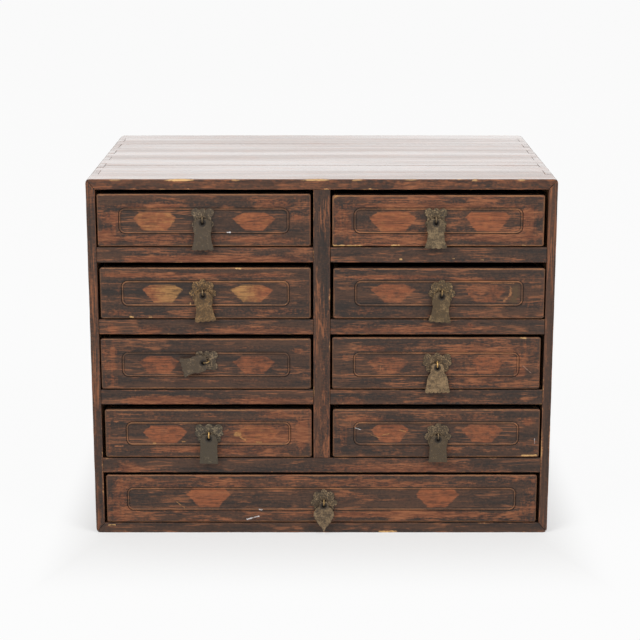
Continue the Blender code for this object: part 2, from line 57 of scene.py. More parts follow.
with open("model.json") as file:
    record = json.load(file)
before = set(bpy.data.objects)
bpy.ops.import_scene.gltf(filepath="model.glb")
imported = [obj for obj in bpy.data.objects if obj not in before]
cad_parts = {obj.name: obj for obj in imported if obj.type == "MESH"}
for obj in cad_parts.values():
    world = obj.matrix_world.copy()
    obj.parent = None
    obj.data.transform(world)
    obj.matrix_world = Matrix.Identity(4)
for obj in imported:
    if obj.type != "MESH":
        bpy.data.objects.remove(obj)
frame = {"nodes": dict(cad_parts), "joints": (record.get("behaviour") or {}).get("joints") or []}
CAD_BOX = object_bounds()

# Points this close are one point, and faces this flat to each other are one face
MERGE = 1e-5
FLAT = math.radians(1)

# Edges sharper than the first are dented and eased, and those sharper than the second stay crisp when shaded
ARRIS_ANGLE = math.radians(35)
SMOOTH_ANGLE = math.radians(38)

SWINGS = {joint["child"][len("pull_"):]: joint for joint in frame["joints"] if joint["type"] == "hinge"}
DRAWERS = tuple(SWINGS)


class Patch(NamedTuple):
    """An oval of more or less wear, and round the fittings an oval of grime and painted shade."""
    across: float
    up: float
    half_w: float
    half_h: float
    wear: float


class Mark(NamedTuple):
    """A short stroke of another colour: a fleck, a chip or a scratch."""
    across: float
    up: float
    to_across: float
    to_up: float
    half: float
    colour: str


class Cartouche(NamedTuple):
    """A painted ingot-shaped field on a front: how ochre it is, how much is left, which side is paler."""
    middle: float
    half_tip: float
    half_top: float
    half_foot: float
    top: float
    tip: float
    foot: float
    ochre: float
    left: float
    pale_side: float = 0.0


def in_metres(kind, lengths, rows):
    """Named tuples from rows whose first values are lengths in millimetres."""
    return tuple(kind(*(value / 1000 for value in row[:lengths]), *row[lengths:]) for row in rows)


def metres(*rows):
    """Rows of lengths in millimetres, in metres."""
    return tuple(tuple(value / 1000 for value in row) for row in rows)


def patches(*rows):
    return in_metres(Patch, 4, rows)


def marks(*rows):
    return in_metres(Mark, 5, rows)


def cartouches(*rows):
    return in_metres(Cartouche, 7, rows)


class Tone(NamedTuple):
    """How a case board has aged: its grain, its wear, the wear near its foot, how rubbed its edges are."""
    grain: str
    wear: float
    foot: float
    edge: float
    patches: tuple = ()
    marks: tuple = ()


# The lacquered boards of the case. Places are in millimetres across and up the chest.
CASE_TONES = {
    "case_top": Tone("X", 0.22, 0, 0.75),
    "case_bottom": Tone(
        "X", -0.16, 0.05, 0.45,
        marks=marks((68, 1.2, 88, 1.2, 1.2, "straw"), (-250, 9.5, -243, 9.5, 0.8, "straw"))),
    "side_left": Tone(
        "Z", 0, 0.05, 0.6,
        marks=marks((-253.5, 242, -253.5, 249, 1.2, "ochre"))),
    "side_right": Tone("Z", -0.04, 0, 0.6),
    "centre_divider": Tone("Z", -0.08, 0.26, 0.5),
    "shelf_left_1": Tone(
        "X", 0.06, 0.25, 0.55,
        patches((-135, 328, 100, 5, 0.35), (-243, 333, 22, 12, -0.5))),
    "shelf_left_2": Tone(
        "X", -0.28, 0.46, 0.45,
        patches((-240, 248, 6, 6, 0.5), (-195, 248, 13, 7, 0.45), (-70, 247, 50, 6, 0.35),
                (-222, 250, 9, 12, -0.4))),
    "shelf_left_3": Tone(
        "X", -0.22, 0.56, 0.6,
        patches((-180, 163, 52, 6, 0.6), (-65, 162, 38, 4, 0.45), (-245, 166, 20, 12, -0.6))),
    "shelf_right_1": Tone(
        "X", -0.14, 0.15, 0.4,
        marks=marks((88.5, 328.3, 90, 328.3, 1.3, "straw"), (148, 329, 150, 329, 0.7, "straw"),
                    (180, 327.5, 183, 327.5, 0.6, "straw"))),
    "shelf_right_2": Tone(
        "X", -0.25, 0.46, 0.6,
        patches((105, 249, 100, 5, 0.35), (235, 250, 25, 12, -0.4)),
        marks((178, 253.5, 186, 253.5, 1, "soot"), (168.6, 251.8, 171.2, 251.8, 2.6, "red"),
              (169.4, 251.8, 170.4, 251.8, 0.9, "soot"))),
    "shelf_right_3": Tone(
        "X", -0.14, 0.2, 0.4,
        patches((35, 161, 16, 5, 0.45), (145, 164, 32, 4, 0.3))),
    "shelf_wide": Tone(
        "X", -0.2, 0.36, 0.55,
        patches((-225, 82, 13, 8, 0.6), (-120, 83, 70, 10, -0.35), (94, 83, 85, 8, 0.4),
                (235, 83, 30, 12, -0.3))),
}

# Chips along the top's front edge, in millimetres from its middle and from its upper face
TOP_CHIPS = patches((-159, -1.2, 14.5, 1.1, 1), (-6, -1.1, 14, 1, 0.8), (-97, -1.2, 4, 1, 0.5),
                    (40, -1.2, 5, 1, 0.5), (172, -1.4, 3, 1.2, 0.6), (224, -1.2, 4, 1, 0.5),
                    (-232, -1.2, 6, 0.8, 0.4), (100, -1, 6, 0.8, 0.4))


class Face(NamedTuple):
    """How one drawer front has aged: its wear, how streaked it is, how dark its panel stayed, and how light
    its bead and its edges are."""
    wear: float
    grain: float
    panel: float
    bead: float
    # How light the edges are: partly wear, partly a painted highlight
    edge: float
    cartouches: tuple
    patches: tuple
    marks: tuple = ()


# The drawer fronts. Places are in millimetres from the middle of a front and from its face line.
FACES = {
    "left_1": Face(
        0, 0.62, 0.4, 0.45, 0.45,
        cartouches((-55.5, 23.9, 17, 13.5, 9.3, 2.8, -11.2, 0.5, 1.3),
                   (56.4, 24.4, 12, 10, 9, 2.5, -11.2, 0.34, 0.92)),
        patches((-109.9, -19, 12, 8, 0.6), (-29.9, -21, 85, 4, 0.35), (70.1, -22, 40, 4, 0.3),
                (-69.9, 17, 45, 3, 0.3), (-103.9, 0, 8, 12, 0.3), (79.1, 19, 20, 5, 0.35),
                (106.1, 4, 5, 3, 0.5)),
        marks((26.4, -13.2, 29.1, -13.4, 0.9, "pale"))),
    "left_2": Face(
        -0.13, 0.75, 0.45, 1, 0.5,
        cartouches((-48.5, 22.6, 14, 11, 9.8, 4.5, -10.2, 0.8, 1, 0.45),
                   (52.9, 24.4, 12, 10, 9.8, 4, -10.2, 0.72, 1, -0.6)),
        patches((-50.4, 21, 60, 3, 0.5), (44.6, 21, 50, 3, 0.45), (-95.4, 21, 22, 3, 0.5),
                (79.6, -21, 50, 4, 0.35), (-100.4, -22, 15, 4, 0.3)),
        marks((-17.1, -12.6, -17.1, -11.4, 0.9, "straw"), (-86.3, -27.6, -82.9, -27.6, 1.2, "straw"),
              (-64.5, -27.8, -61.9, -27.8, 0.8, "straw"), (35.1, 29, 40.6, 29, 0.9, "straw"),
              (-73.8, -10, -69.4, -9.2, 0.5, "tan"))),
    "left_3": Face(
        -0.19, 0.48, 0.15, 0.45, 0.35,
        cartouches((-53.9, 22.9, 13, 12, 9.6, 3, -11.3, 0, 0.7),
                   (55.3, 23.8, 13, 11, 9.4, 2.5, -11.3, 0, 0.68)),
        patches((-109.8, 14, 9, 7, 0.55), (-109.8, -3, 8, 6, 0.45), (-108.7, -19, 10, 7, 0.55),
                (60.2, 19, 50, 3, 0.25), (106.2, 16, 6, 3, 0.45), (50.3, -20, 60, 2, 0.3))),
    "left_4": Face(
        0, 1.05, 0.14, 1, 0.45,
        cartouches((-50.3, 25.8, 16, 13, 8.8, 1, -12.5, 0.2, 0.85),
                   (56.9, 25.2, 14, 12, 8.8, 1, -12.5, 0.4, 0.85)),
        patches((53.7, 0, 55, 14, 0.6), (108.7, -2, 7, 18, 0.6), (28.7, -21, 70, 5, 0.4),
                (-61.3, -21, 50, 3, 0.25), (78.7, 21, 20, 4, 0.45), (-86.3, -4, 25, 26, -0.3)),
        marks((31.7, -1.5, 35.7, -2.2, 3, "ochre"), (37.7, -5.5, 42.7, -8.8, 1, "ochre"),
              (-63.5, -12.6, -62.3, -12.6, 1.6, "ochre"), (-30.3, -10.7, -26.3, -10.7, 0.8, "ochre"),
              (56.2, -11.4, 61.2, -11.4, 1.1, "ochre"), (-109.3, 13.6, -104.3, 13.6, 0.9, "orange"),
              (-108.8, -16.1, -99.8, -16.1, 0.9, "orange"))),
    "right_1": Face(
        0.16, 0.85, 0.16, 0.75, 0.9,
        cartouches((-51.2, 26.6, 17, 13, 9.9, 3, -13.3, 0.38, 1.25),
                   (55.7, 25.2, 19, 12, 9.9, 4, -12.5, 0.28, 0.95)),
        patches((101.1, 0, 6, 18, 0.55), (-107.9, 0, 9, 13, 0.4), (-9.9, 17, 95, 3, 0.35),
                (60.1, -20, 50, 4, 0.4)),
        marks((-117.9, -28.6, -85.9, -28.6, 1.1, "straw"), (-52.4, -28.4, -44.4, -28, 0.9, "straw"),
              (-117.4, 26.5, -114.9, 28, 1.7, "ochre"), (95.6, -28.5, 98.6, -28.5, 0.9, "straw"))),
    "right_2": Face(
        -0.17, 0.38, 0.32, 0.75, 0.5,
        cartouches((-52.3, 25.8, 13, 9, 10.5, 5, -10.5, 0.1, 0.74),
                   (53, 23.8, 15, 11, 10, 4, -10.5, 0.05, 0.5)),
        patches((-46.8, 19, 55, 2.5, 0.6), (43.2, 16, 45, 3, 0.4), (-79.8, -20, 18, 5, 0.4),
                (58.2, 10, 35, 5, 0.4)),
        marks((87.4, 5.5, 85.2, -8.5, 5.8, "umber"), (81.2, 7, 81.8, -1.5, 1.6, "tan"),
              (81.8, -1.5, 74.5, -9, 1.6, "tan"), (58.2, 12.1, 85.2, 11.8, 0.6, "tan"))),
    "right_3": Face(
        -0.13, 0.95, 0.12, 0.6, 0.45,
        cartouches((-55, 22.9, 13, 11, 8.6, 3, -11.5, 0, 0.5), (59, 18.4, 12, 9, 8.6, 3, -11.5, 0.2, 0.62)),
        patches((60, 0, 60, 30, 0.38), (-75, 19, 20, 4, 0.5), (-105, 8, 4, 3, 0.5), (-104, -11, 4, 3, 0.5),
                (-100, 0, 22, 30, -0.3), (97, -10, 7, 5, 0.45)),
        marks((100.1, -2.3, 109.3, -10.4, 0.5, "dust"), (-63.9, -2.3, -64.3, -6.9, 0.5, "tan"),
              (96, 31, 102, 30.9, 0.8, "straw"))),
    "right_4": Face(
        -0.13, 0.95, 0.38, 0.65, 0.5,
        cartouches((-53.6, 21.8, 14, 11, 9.8, 4, -11.3, 0.18, 0.82),
                   (53.5, 23.8, 15, 11, 9.8, 3.5, -11.3, 0.05, 0.72)),
        patches((-83.4, 17, 26, 4, 0.45), (38.7, 18, 30, 4, 0.35), (12.6, -21, 16, 4, 0.45),
                (-107.4, -3, 4, 14, 0.45), (105.6, 14, 9, 5, 0.5)),
        marks((100.6, -27.7, 116.6, -27.2, 1.2, "straw"), (-64.1, -3.3, -54.9, -1, 0.5, "ochre"),
              (-43.4, 3.7, -35.4, 1.4, 0.5, "ochre"), (-75.6, -2.1, -64.1, -6.8, 0.4, "ochre"),
              (-94, 6, -87.1, 3.7, 0.4, "pale"), (114.4, -6.8, 114.4, -12.6, 0.4, "pale"))),
    "wide": Face(
        0.02, 1.3, 0.28, 0.75, 0.5,
        cartouches((-131.9, 25.5, 18, 11, 12.5, 5, -11, 0.25, 0.98),
                   (135.5, 25.2, 18, 11, 12.5, 4.5, -11, 0.22, 0.94)),
        patches((100.2, -20, 120, 4, 0.6), (-149.8, 19, 100, 6, 0.3), (60.2, 18, 70, 5, 0.35),
                (-234.8, -4, 12, 25, 0.3), (36.2, 2, 30, 6, 0.35), (205.2, 0, 35, 20, -0.3),
                (-175.8, -22, 20, 5, -0.35)),
        marks((-72.8, -14.5, -69.3, -14.5, 1.1, "pale"), (-86.8, -25.8, -73.5, -22.4, 1.1, "pale"),
              (-169.6, -4.5, -160.4, -12.2, 0.5, "ochre"))),
}


class Fitting(NamedTuple):
    """The brass on one drawer: plate, pull with its length, foot and flutes, colour, the pin's brightness."""
    plate: str
    pull: str
    length: float
    foot: float
    flutes: float
    rubbed: float
    tint: tuple
    pin: float


FITTINGS = {
    "left_1": Fitting("square", "bell", 0.0345, 0.0122, 0.6, 0.20, (0.98, 0.98, 1.02), 0.10),
    "left_2": Fitting("cloud", "bell", 0.0335, 0.0122, 0.0, 0.50, (1.26, 1.02, 0.74), 0.15),
    "left_3": Fitting("square", "bell", 0.0285, 0.0116, 0.2, 0.25, (1.00, 0.98, 1.00), 0.35),
    "left_4": Fitting("broad", "straight", 0.0345, 0.0106, 0.0, 0.10, (0.90, 0.96, 1.02), 0.85),
    "right_1": Fitting("square", "bell", 0.0325, 0.0125, 0.4, 0.60, (1.03, 1.00, 0.92), 0.10),
    "right_2": Fitting("cloud", "bell", 0.0335, 0.0126, 0.0, 0.35, (1.10, 1.00, 0.82), 0.35),
    "right_3": Fitting("broad", "flared", 0.0330, 0.0142, 1.0, 0.88, (1.08, 0.99, 0.88), 1.00),
    "right_4": Fitting("cloud", "straight", 0.0315, 0.0110, 0.0, 0.20, (1.00, 0.96, 0.90), 0.10),
    "wide": Fitting("cloud", "heart", 0.0360, 0.0005, 0.0, 0.70, (1.04, 0.99, 0.94), 0.55),
}

# Side of each pull, in millimetres: half width against distance below its axis, down to the shoulder over
# its foot
PULL_SIDES = {
    "bell": metres((4, -0.8), (7.5, 1.2), (9.8, 5), (10.4, 13), (9.1, 16), (9.8, 22.5)),
    "flared": metres((4, -0.8), (6.8, 1.2), (7.6, 5), (8, 10), (10.7, 13.8), (12.1, 20)),
    "straight": metres((4, -0.8), (7.2, 1), (9.4, 5), (10.4, 10.8), (9.8, 12.6), (10.3, 25)),
    "heart": metres((3.6, -0.8), (5.2, 1.5), (5.5, 5), (9.8, 8.5), (11.8, 12.5), (12, 15.5), (10.8, 19),
                    (8.4, 23.5), (5.6, 28), (2, 31.8)),
}

# Outlines of the plates, in millimetres: discs as (x, z, radius) about the pin, each at both sides
PLATE_DISCS = {
    "cloud": metres((0, 0, 10), (0, 10.5, 4), (7, 6.2, 5.5), (11.2, -1.8, 4.2), (6.6, -7.8, 5)),
    "square": metres((0, 0, 10), (7.8, 7, 5), (0, 8.5, 3.5), (7.4, -6.2, 4.8)),
    "broad": metres((0, 0, 10.5), (11, 7, 4.8), (0, 8.5, 4), (12.5, 1, 4), (8.5, -5.8, 4.8)),
}

# Scallops at the foot of a pull
SCALLOPS = {"bell": 4, "flared": 6}


def length(label, description, default):
    return FloatProperty(name=label, description=description, default=default, unit="LENGTH", precision=5)


def swatch(label, description, default):
    return FloatVectorProperty(name=label, description=description, default=default, subtype="COLOR", size=3,
                               min=0.0, max=1.0)


def fraction(label, description, default):
    return FloatProperty(name=label, description=description, default=default, subtype="FACTOR", min=0.0,
                         max=1.0)


def power(label, description, default):
    return FloatProperty(name=label, description=description, default=default, unit="POWER")


class ChestCaseSettings(bpy.types.PropertyGroup):
    """Sizes of the case boards' wear and seams."""
    arris: length("Arris", "Width of the eased edges of the boards", 0.0005)
    knock: length("Knocks", "Depth of the dents along the edges", 0.0006)
    chip: length("Chips", "Depth of the chips in the top's front edge", 0.0016)
    support: length("Support", "How far from an edge its dents fade out", 0.0024)
    spacing: length("Spacing", "Distance between the cuts that carry the dents", 0.0065)
    end_margin: length("End margin", "Length at a board's ends that keeps its joints crisp", 0.024)
    front_seam: length("Front seam", "Depth of the top's first seam behind the front", 0.1006)
    rear_seam: length("Rear seam", "Depth of the top's second seam behind the front", 0.279)
    seam_width: length("Seam width", "Width of the open seams", 0.0010)
    seam_depth: length("Seam depth", "Depth of the open seams", 0.0008)
    back_boards: IntProperty(name="Back boards", description="Boards that make up the back", default=3, min=1)


class ChestLacquerSettings(bpy.types.PropertyGroup):
    """Colours, gloss and relief of the lacquer and the bare wood."""
    charcoal: swatch("Charcoal", "Lacquer where it is whole", (0.0240, 0.0178, 0.0148))
    brown: swatch("Brown", "Lacquer where it has thinned", (0.072, 0.036, 0.022))
    red: swatch("Red-brown", "Stain under the lacquer", (0.150, 0.048, 0.022))
    orange: swatch("Orange", "Worn streaks along the grain", (0.290, 0.110, 0.048))
    cinnabar: swatch("Cinnabar", "Red paint of the cartouches", (0.255, 0.079, 0.032))
    ochre: swatch("Ochre", "Pale paint of the cartouches and small chips", (0.345, 0.175, 0.062))
    straw: swatch("Straw", "Fresh wood in the chips", (0.560, 0.330, 0.130))
    # On the drawer fronts' edges the tan is partly a painted highlight
    tan: swatch("Tan", "Crest of the bead and rubbed edges", (0.265, 0.118, 0.050))
    umber: swatch("Umber", "Old chips that have darkened", (0.080, 0.048, 0.024))
    # Soot in the pores; in the quirks and in the gaps round the drawers it is painted shade
    soot: swatch("Soot", "Dirt in the quirks, the pores and the gaps", (0.012, 0.009, 0.008))
    bare: swatch("Bare wood", "Unfinished softwood inside", (0.300, 0.185, 0.098))
    late: swatch("Late wood", "Dark lines of the bare softwood", (0.165, 0.088, 0.042))
    pale: swatch("Pale mark", "Spots of paint on the fronts", (0.62, 0.60, 0.60))
    dust: swatch("Dust", "Dry film on the top", (0.290, 0.168, 0.120))
    gloss: fraction("Gloss", "Specular level of the lacquer", 0.28)
    relief: length("Relief", "Depth of the grain in the lacquer", 0.0004)
    top_relief: length("Top relief", "Depth of the grain in the boards of the polished top", 0.0001)
    side_reach: FloatProperty(name="Side reach", description="How much longer the streaks of the sides are",
                              default=2.5, min=0.1)


class ChestDrawerSettings(bpy.types.PropertyGroup):
    """Sizes of the drawer fronts and boxes."""
    frame_end: length("Frame end", "Margin beside the moulded frame", 0.0255)
    frame_drop: length("Frame drop", "From the board over a drawer down to its moulded frame", 0.0222)
    wide_drop: length("Wide drop", "The same for the wide drawer", 0.0200)
    frame_foot: length("Frame foot", "Margin under the moulded frame", 0.0159)
    face_line: length("Face line", "Height over a front's foot that its wear is measured from", 0.0296)
    frame_radius: length("Frame radius", "Corner radius of the moulded frame", 0.006)
    quirk: length("Quirk", "Depth of the groove outside the bead", 0.0008)
    edge: length("Edge", "Rounding of the front's edges", 0.0014)
    corner: length("Corner", "Corner radius of the front", 0.0010)
    lap: length("Lap", "Width and depth of the laps for the box sides", 0.0067)
    wall: length("Wall", "Thickness of the box sides and rear", 0.006)
    floor: length("Floor", "Thickness of the box floor", 0.005)
    rear_drop: length("Rear drop", "How far the rear stays under the sides", 0.001)
    peg: length("Peg", "Radius of the pegs that hold the box", 0.0012)
    peg_proud: length("Peg height", "Length of a peg's head, half of it in the wood", 0.0006)
    spacing: length("Spacing", "Distance between the cuts that carry the wear", 0.008)
    box_spacing: length("Box spacing", "The same on the boards of a box", 0.012)
    box_margin: length("Box margin", "Length at the ends of a box's cross boards without cuts", 0.02)
    wobble: length("Wobble", "Unevenness of the hand-cut bead and edges", 0.00025)


class ChestBrassSettings(bpy.types.PropertyGroup):
    """Sizes and colours of the plates, pins and pulls."""
    sheet: length("Sheet", "Thickness of the brass sheet", 0.0007)
    wire: length("Wire", "Radius of the pin's wire", 0.0008)
    eye: length("Eye", "Radius of the pin's eye", 0.0030)
    legs: length("Legs", "Distance between the pin's legs", 0.0021)
    clench: length("Clench", "Length of the pin's bent ends", 0.0070)
    hole: length("Hole", "Radius of the hole in a plate", 0.00225)
    eye_width: length("Eye width", "Width of the hole in a pull", 0.0046)
    eye_height: length("Eye height", "Height of the hole in a pull", 0.0048)
    eye_drop: length("Eye drop", "Distance from a pull's axis down to its hole", 0.0018)
    # Dirt and painted shade round a pull's eye: the radius of its oval
    painted_shade: length("Dirt", "Radius of the dirt round a pull's eye", 0.0042)
    flute: length("Flute", "Depth of the flutes on a pull", 0.00022)
    flute_pitch: length("Flute pitch", "Distance between the flutes", 0.0048)
    flute_top: length("Flute top", "Distance below a pull's axis where its flutes begin", 0.013)
    flute_fade: length("Flute fade", "Length over which the flutes deepen", 0.006)
    scallop: length("Scallop", "Depth of the scallops at a pull's foot", 0.0012)
    bend: length("Bends", "Unevenness of a pull's face", 0.00012)
    dish: length("Dish", "Height of the rings worked into a plate", 0.00012)
    beat: length("Beating", "Unevenness of a plate's face", 0.0001)
    plate_rim: fraction("Plate rim", "How far a plate's rim wavers", 0.05)
    plate_rubbed: fraction("Plate rub", "How rubbed the plates are", 0.43)
    plate_stipple: fraction("Plate stipple", "How stippled the plates are", 0.9)
    pin_rubbed: fraction("Pin rub", "How rubbed the pins are", 0.4)
    # Dirt and painted shade round a pull's eye: how dark it is
    eye_dirt_and_shade: fraction("Eye dirt", "How dirty the metal is round a pull's eye", 0.85)
    patina: swatch("Patina", "Tarnished brass", (0.078, 0.057, 0.036))
    rubbed: swatch("Rubbed brass", "Brass where fingers have rubbed it", (0.270, 0.195, 0.115))
    # Pits; round a pull's eye this also gives grime and painted shade
    pit_and_shade: swatch("Pits", "Dark pits and dirt", (0.016, 0.013, 0.011))
    bright: swatch("Bright brass", "Clean brass of the pins", (0.560, 0.340, 0.110))


class ChestStageSettings(bpy.types.PropertyGroup):
    """Camera, floor and lamps."""
    lens: FloatProperty(name="Lens", description="Focal length", default=98.4, unit="CAMERA")
    camera: FloatVectorProperty(name="Camera", description="Place of the camera", size=3,
                                subtype="TRANSLATION", default=(-0.002, -2.12, 0.734))
    tilt: FloatProperty(name="Tilt", description="Downward tilt of the camera", subtype="ANGLE",
                        default=math.radians(13.8))
    floor: swatch("Floor", "Colour of the floor", (0.62, 0.62, 0.614))
    floor_size: length("Floor size", "Half the side of the floor", 20.0)
    floor_lift: fraction("Floor lift", "Share of plain white in the floor near the chest", 0.40)
    far_lift: fraction("Far lift", "The same away from the chest", 0.96)
    backdrop: swatch("Backdrop", "Plain white that the floor fades into", (0.980, 0.980, 0.980))
    ambient: FloatProperty(name="Ambient", description="Strength of the light from all sides", default=0.46)
    key: power("Key", "Power of the lamp at the left", 80.0)
    fill: power("Fill", "Power of the lamp at the right", 66.0)
    glow: power("Glow", "Power of the low screen behind", 6.0)
    lamp: length("Lamp", "Side of the square lamps and height of the screen", 1.4)
    screen: length("Screen", "Width of the low screen", 5.5)


class Wire:
    """An output of a node. Arithmetic on it adds Math nodes to its sheet."""

    def __init__(self, sheet, socket):
        self.sheet = sheet
        self.socket = socket

    def maths(self, operation, *values):
        return self.sheet.add("ShaderNodeMath", {"operation": operation}, dict(enumerate(values)))

    def __add__(self, other):
        return self.maths("ADD", self, other)

    __radd__ = __add__

    def __sub__(self, other):
        return self.maths("SUBTRACT", self, other)

    def __rsub__(self, other):
        return self.maths("SUBTRACT", other, self)

    def __mul__(self, other):
        return self.maths("MULTIPLY", self, other)

    __rmul__ = __mul__

    def __truediv__(self, other):
        return self.maths("DIVIDE", self, other)

    def __rtruediv__(self, other):
        return self.maths("DIVIDE", other, self)

    def __abs__(self):
        return self.maths("ABSOLUTE", self)

    def largest(self, other):
        return self.maths("MAXIMUM", self, other)

    def least(self, other):
        return self.maths("MINIMUM", self, other)

    def root(self):
        return self.maths("SQRT", self)

    def step(self, low, high):
        """Smooth step from 0 at low to 1 at high, which may be the smaller of the two."""
        return self.sheet.add("ShaderNodeMapRange", {"interpolation_type": "SMOOTHSTEP"},
                              {"Value": self, "From Min": low, "From Max": high})


class Sheet:
    """The nodes of a material or of the surroundings."""

    def __init__(self, tree):
        self.tree = tree

    def connect(self, node, inputs):
        for key, value in inputs.items():
            if isinstance(value, Wire):
                self.tree.links.new(value.socket, node.inputs[key])
            else:
                node.inputs[key].default_value = value

    def add(self, kind, settings, inputs, out=0):
        """A node of any type, with its settings, then the values or links of its sockets."""
        node = self.tree.nodes.new(kind)
        for setting, value in settings.items():
            setattr(node, setting, value)
        self.connect(node, inputs)
        return Wire(self, node.outputs[out])


# A Mix node's sockets for colours
MIX_UNDER, MIX_OVER, MIX_RESULT = 6, 7, 2


class Finish(Sheet):
    """The nodes of one material, built round its Principled shader."""

    def __init__(self, name):
        self.material = bpy.data.materials.new(name)
        self.material.use_nodes = True
        super().__init__(self.material.node_tree)
        self.shader = self.tree.nodes["Principled BSDF"]
        self.place = self.add("ShaderNodeTexCoord", {}, {}, "Object")
        self.axes = [self.add("ShaderNodeSeparateXYZ", {}, {0: self.place}, axis) for axis in "XYZ"]

    def noise(self, stretch, shift, detail, place=None):
        spread = self.add("ShaderNodeVectorMath", {"operation": "MULTIPLY_ADD"},
                          {0: place or self.place, 1: stretch, 2: shift})
        return self.add("ShaderNodeTexNoise", {},
                        {"Vector": spread, "Scale": 1.0, "Detail": detail, "Roughness": 0.6})

    def blend(self, mask, under, over):
        """One colour over another where the mask is 1."""
        sides = {side: colour if isinstance(colour, Wire) else (*colour, 1.0)
                 for side, colour in ((MIX_UNDER, under), (MIX_OVER, over))}
        return self.add("ShaderNodeMix", {"data_type": "RGBA"}, {0: mask, **sides}, MIX_RESULT)

    def coats(self, colour, *coats):
        """A colour under coats of others, each with its mask."""
        for mask, over in coats:
            colour = self.blend(mask, colour, over)
        return colour

    def finish(self, height, depth, inputs):
        """Bump from a height between 0 and 1, and the rest of the shader's inputs."""
        normal = self.add("ShaderNodeBump", {}, {"Height": height, "Distance": depth, "Strength": 1.0})
        self.connect(self.shader, {"Normal": normal, **inputs})
        return self.material


class Waves(NamedTuple):
    """The figure of a board: noises along its grain, from wide to fine, a mottle that runs no way, and the
    mottle less its mean."""
    patches: Wire
    bands: Wire
    streaks: Wire
    fibres: Wire
    hairs: Wire
    mottle: Wire
    ragged: Wire


def shift_of(seed):
    """A place in the noise of its own for each seed."""
    return (seed * 1.73, seed * 3.11, seed * 2.37)


def wood_waves(sheet, grain, seed, reach=1.0):
    """Noises stretched along the grain, which wanders a little."""
    def stretch(along, across):
        return tuple(along / reach if axis == grain else across for axis in "XYZ")

    def figure(along, across, detail):
        return sheet.noise(stretch(along, across), shift, detail, place)

    shift = shift_of(seed)
    wander = sheet.noise(stretch(5.0, 16.0), shift, 2.0)
    drift = sheet.add("ShaderNodeVectorMath", {"operation": "SCALE"},
                      {0: stretch(0.0, 0.008), "Scale": wander})
    place = sheet.add("ShaderNodeVectorMath", {"operation": "ADD"}, {0: sheet.place, 1: drift})
    mottle = sheet.noise((320.0, 320.0, 420.0), shift, 4.0)
    return Waves(figure(22.0, 75.0 / reach, 4.0), figure(7.0, 130.0, 3.0), figure(58.0, 520.0, 4.0),
                 figure(130.0, 1400.0, 3.0), abs(figure(15.0, 300.0, 2.0) - 0.5).step(0.060, 0.010),
                 mottle, mottle - 0.5)


def arris_gap(sheet, low, high):
    """Distance to the nearest edge of a box: the middle one of the distances to its three pairs of faces."""
    a, b, c = [(axis - near).least(far - axis) for axis, near, far in zip(sheet.axes, low, high)]
    return a.least(b).largest(a.largest(b).least(c))


def frame_gap(u, v, half_w, half_h, radius):
    """Signed distance to a rounded rectangle about the origin."""
    across = abs(u) - (half_w - radius)
    up = abs(v) - (half_h - radius)
    out_u, out_v = across.largest(0.0), up.largest(0.0)
    return (out_u * out_u + out_v * out_v).root() + across.largest(up).least(0.0) - radius


def cartouche_gap(u, v, shape):
    """Above 0 outside the ingot shape: blunt top, pointed sides, narrow foot."""
    side = abs(u - shape.middle) - shape.half_tip
    upper = (shape.half_tip - shape.half_top) / (shape.top - shape.tip)
    lower = (shape.half_tip - shape.half_foot) / (shape.tip - shape.foot)
    over = side + (v - shape.tip) * upper
    under = side + (shape.tip - v) * lower
    return over.largest(under).largest(v - shape.top).largest(shape.foot - v)


def oval(u, v, patch, soft):
    """A mask that is 1 in the middle of an oval patch and fades out at its rim."""
    across = (u - patch.across) / patch.half_w
    up = (v - patch.up) / patch.half_h
    return (across * across + up * up).step(1.0 + soft, 1.0 - soft)


def stroke(u, v, mark, waves):
    """A mask that is 1 along a short ragged stroke."""
    run, rise = mark.to_across - mark.across, mark.to_up - mark.up
    square = run * run + rise * rise
    from_u, from_v = u - mark.across, v - mark.up
    along = (from_u * (run / square) + from_v * (rise / square)).largest(0.0).least(1.0)
    off_u, off_v = from_u - along * run, from_v - along * rise
    off = (off_u * off_u + off_v * off_v).root() + (waves.mottle - 0.45) * (mark.half * 2.5 + 0.0012)
    return off.step(mark.half * 1.25, mark.half * 0.35)


def add_patches(worn, u, v, patches):
    """Wear with more or less of it in some ovals."""
    for patch in patches:
        worn = worn + oval(u, v, patch, 0.8) * patch.wear
    return worn


def worn_lacquer(sheet, waves, wear, full, paint):
    """Charcoal lacquer that has thinned to brown, worn through to its streaked stain."""
    thinned = (waves.bands * 0.6 + waves.mottle * 0.4).step(0.36, 0.62)
    streaked = (waves.streaks * 0.6 + waves.fibres * 0.4).step(0.46, full)
    return sheet.blend(wear * 0.90, sheet.blend(thinned, paint.charcoal, paint.brown),
                       sheet.blend(streaked, paint.red, paint.orange))


def fine_grain(sheet, waves, colour, paint):
    """Thin lines and dark pores along the grain, and small bare specks."""
    worn = waves.patches.step(0.46, 0.58)
    specks = (waves.mottle * 0.55 + waves.fibres * 0.45).step(0.64, 0.72)
    return sheet.coats(colour, (waves.hairs * worn * 0.55, paint.orange),
                       (waves.hairs * (1.0 - worn) * 0.45, paint.soot),
                       (waves.fibres.step(0.46, 0.26) * 0.55, paint.soot), (specks * 0.6, paint.tan))


def add_marks(sheet, colour, u, v, marks, waves, strength, paint):
    """A colour with its flecks, chips and scratches."""
    return sheet.coats(colour, *((stroke(u, v, mark, waves) * strength, getattr(paint, mark.colour))
                                 for mark in marks))


def bare_colour(sheet, waves, paint):
    """Aged softwood with its darker late wood."""
    lines = (waves.bands * 0.6 + waves.streaks * 0.4).step(0.46, 0.62)
    return sheet.coats(paint.bare, (lines * 0.75, paint.late),
                       (waves.patches.step(0.50, 0.75) * 0.35, paint.brown))


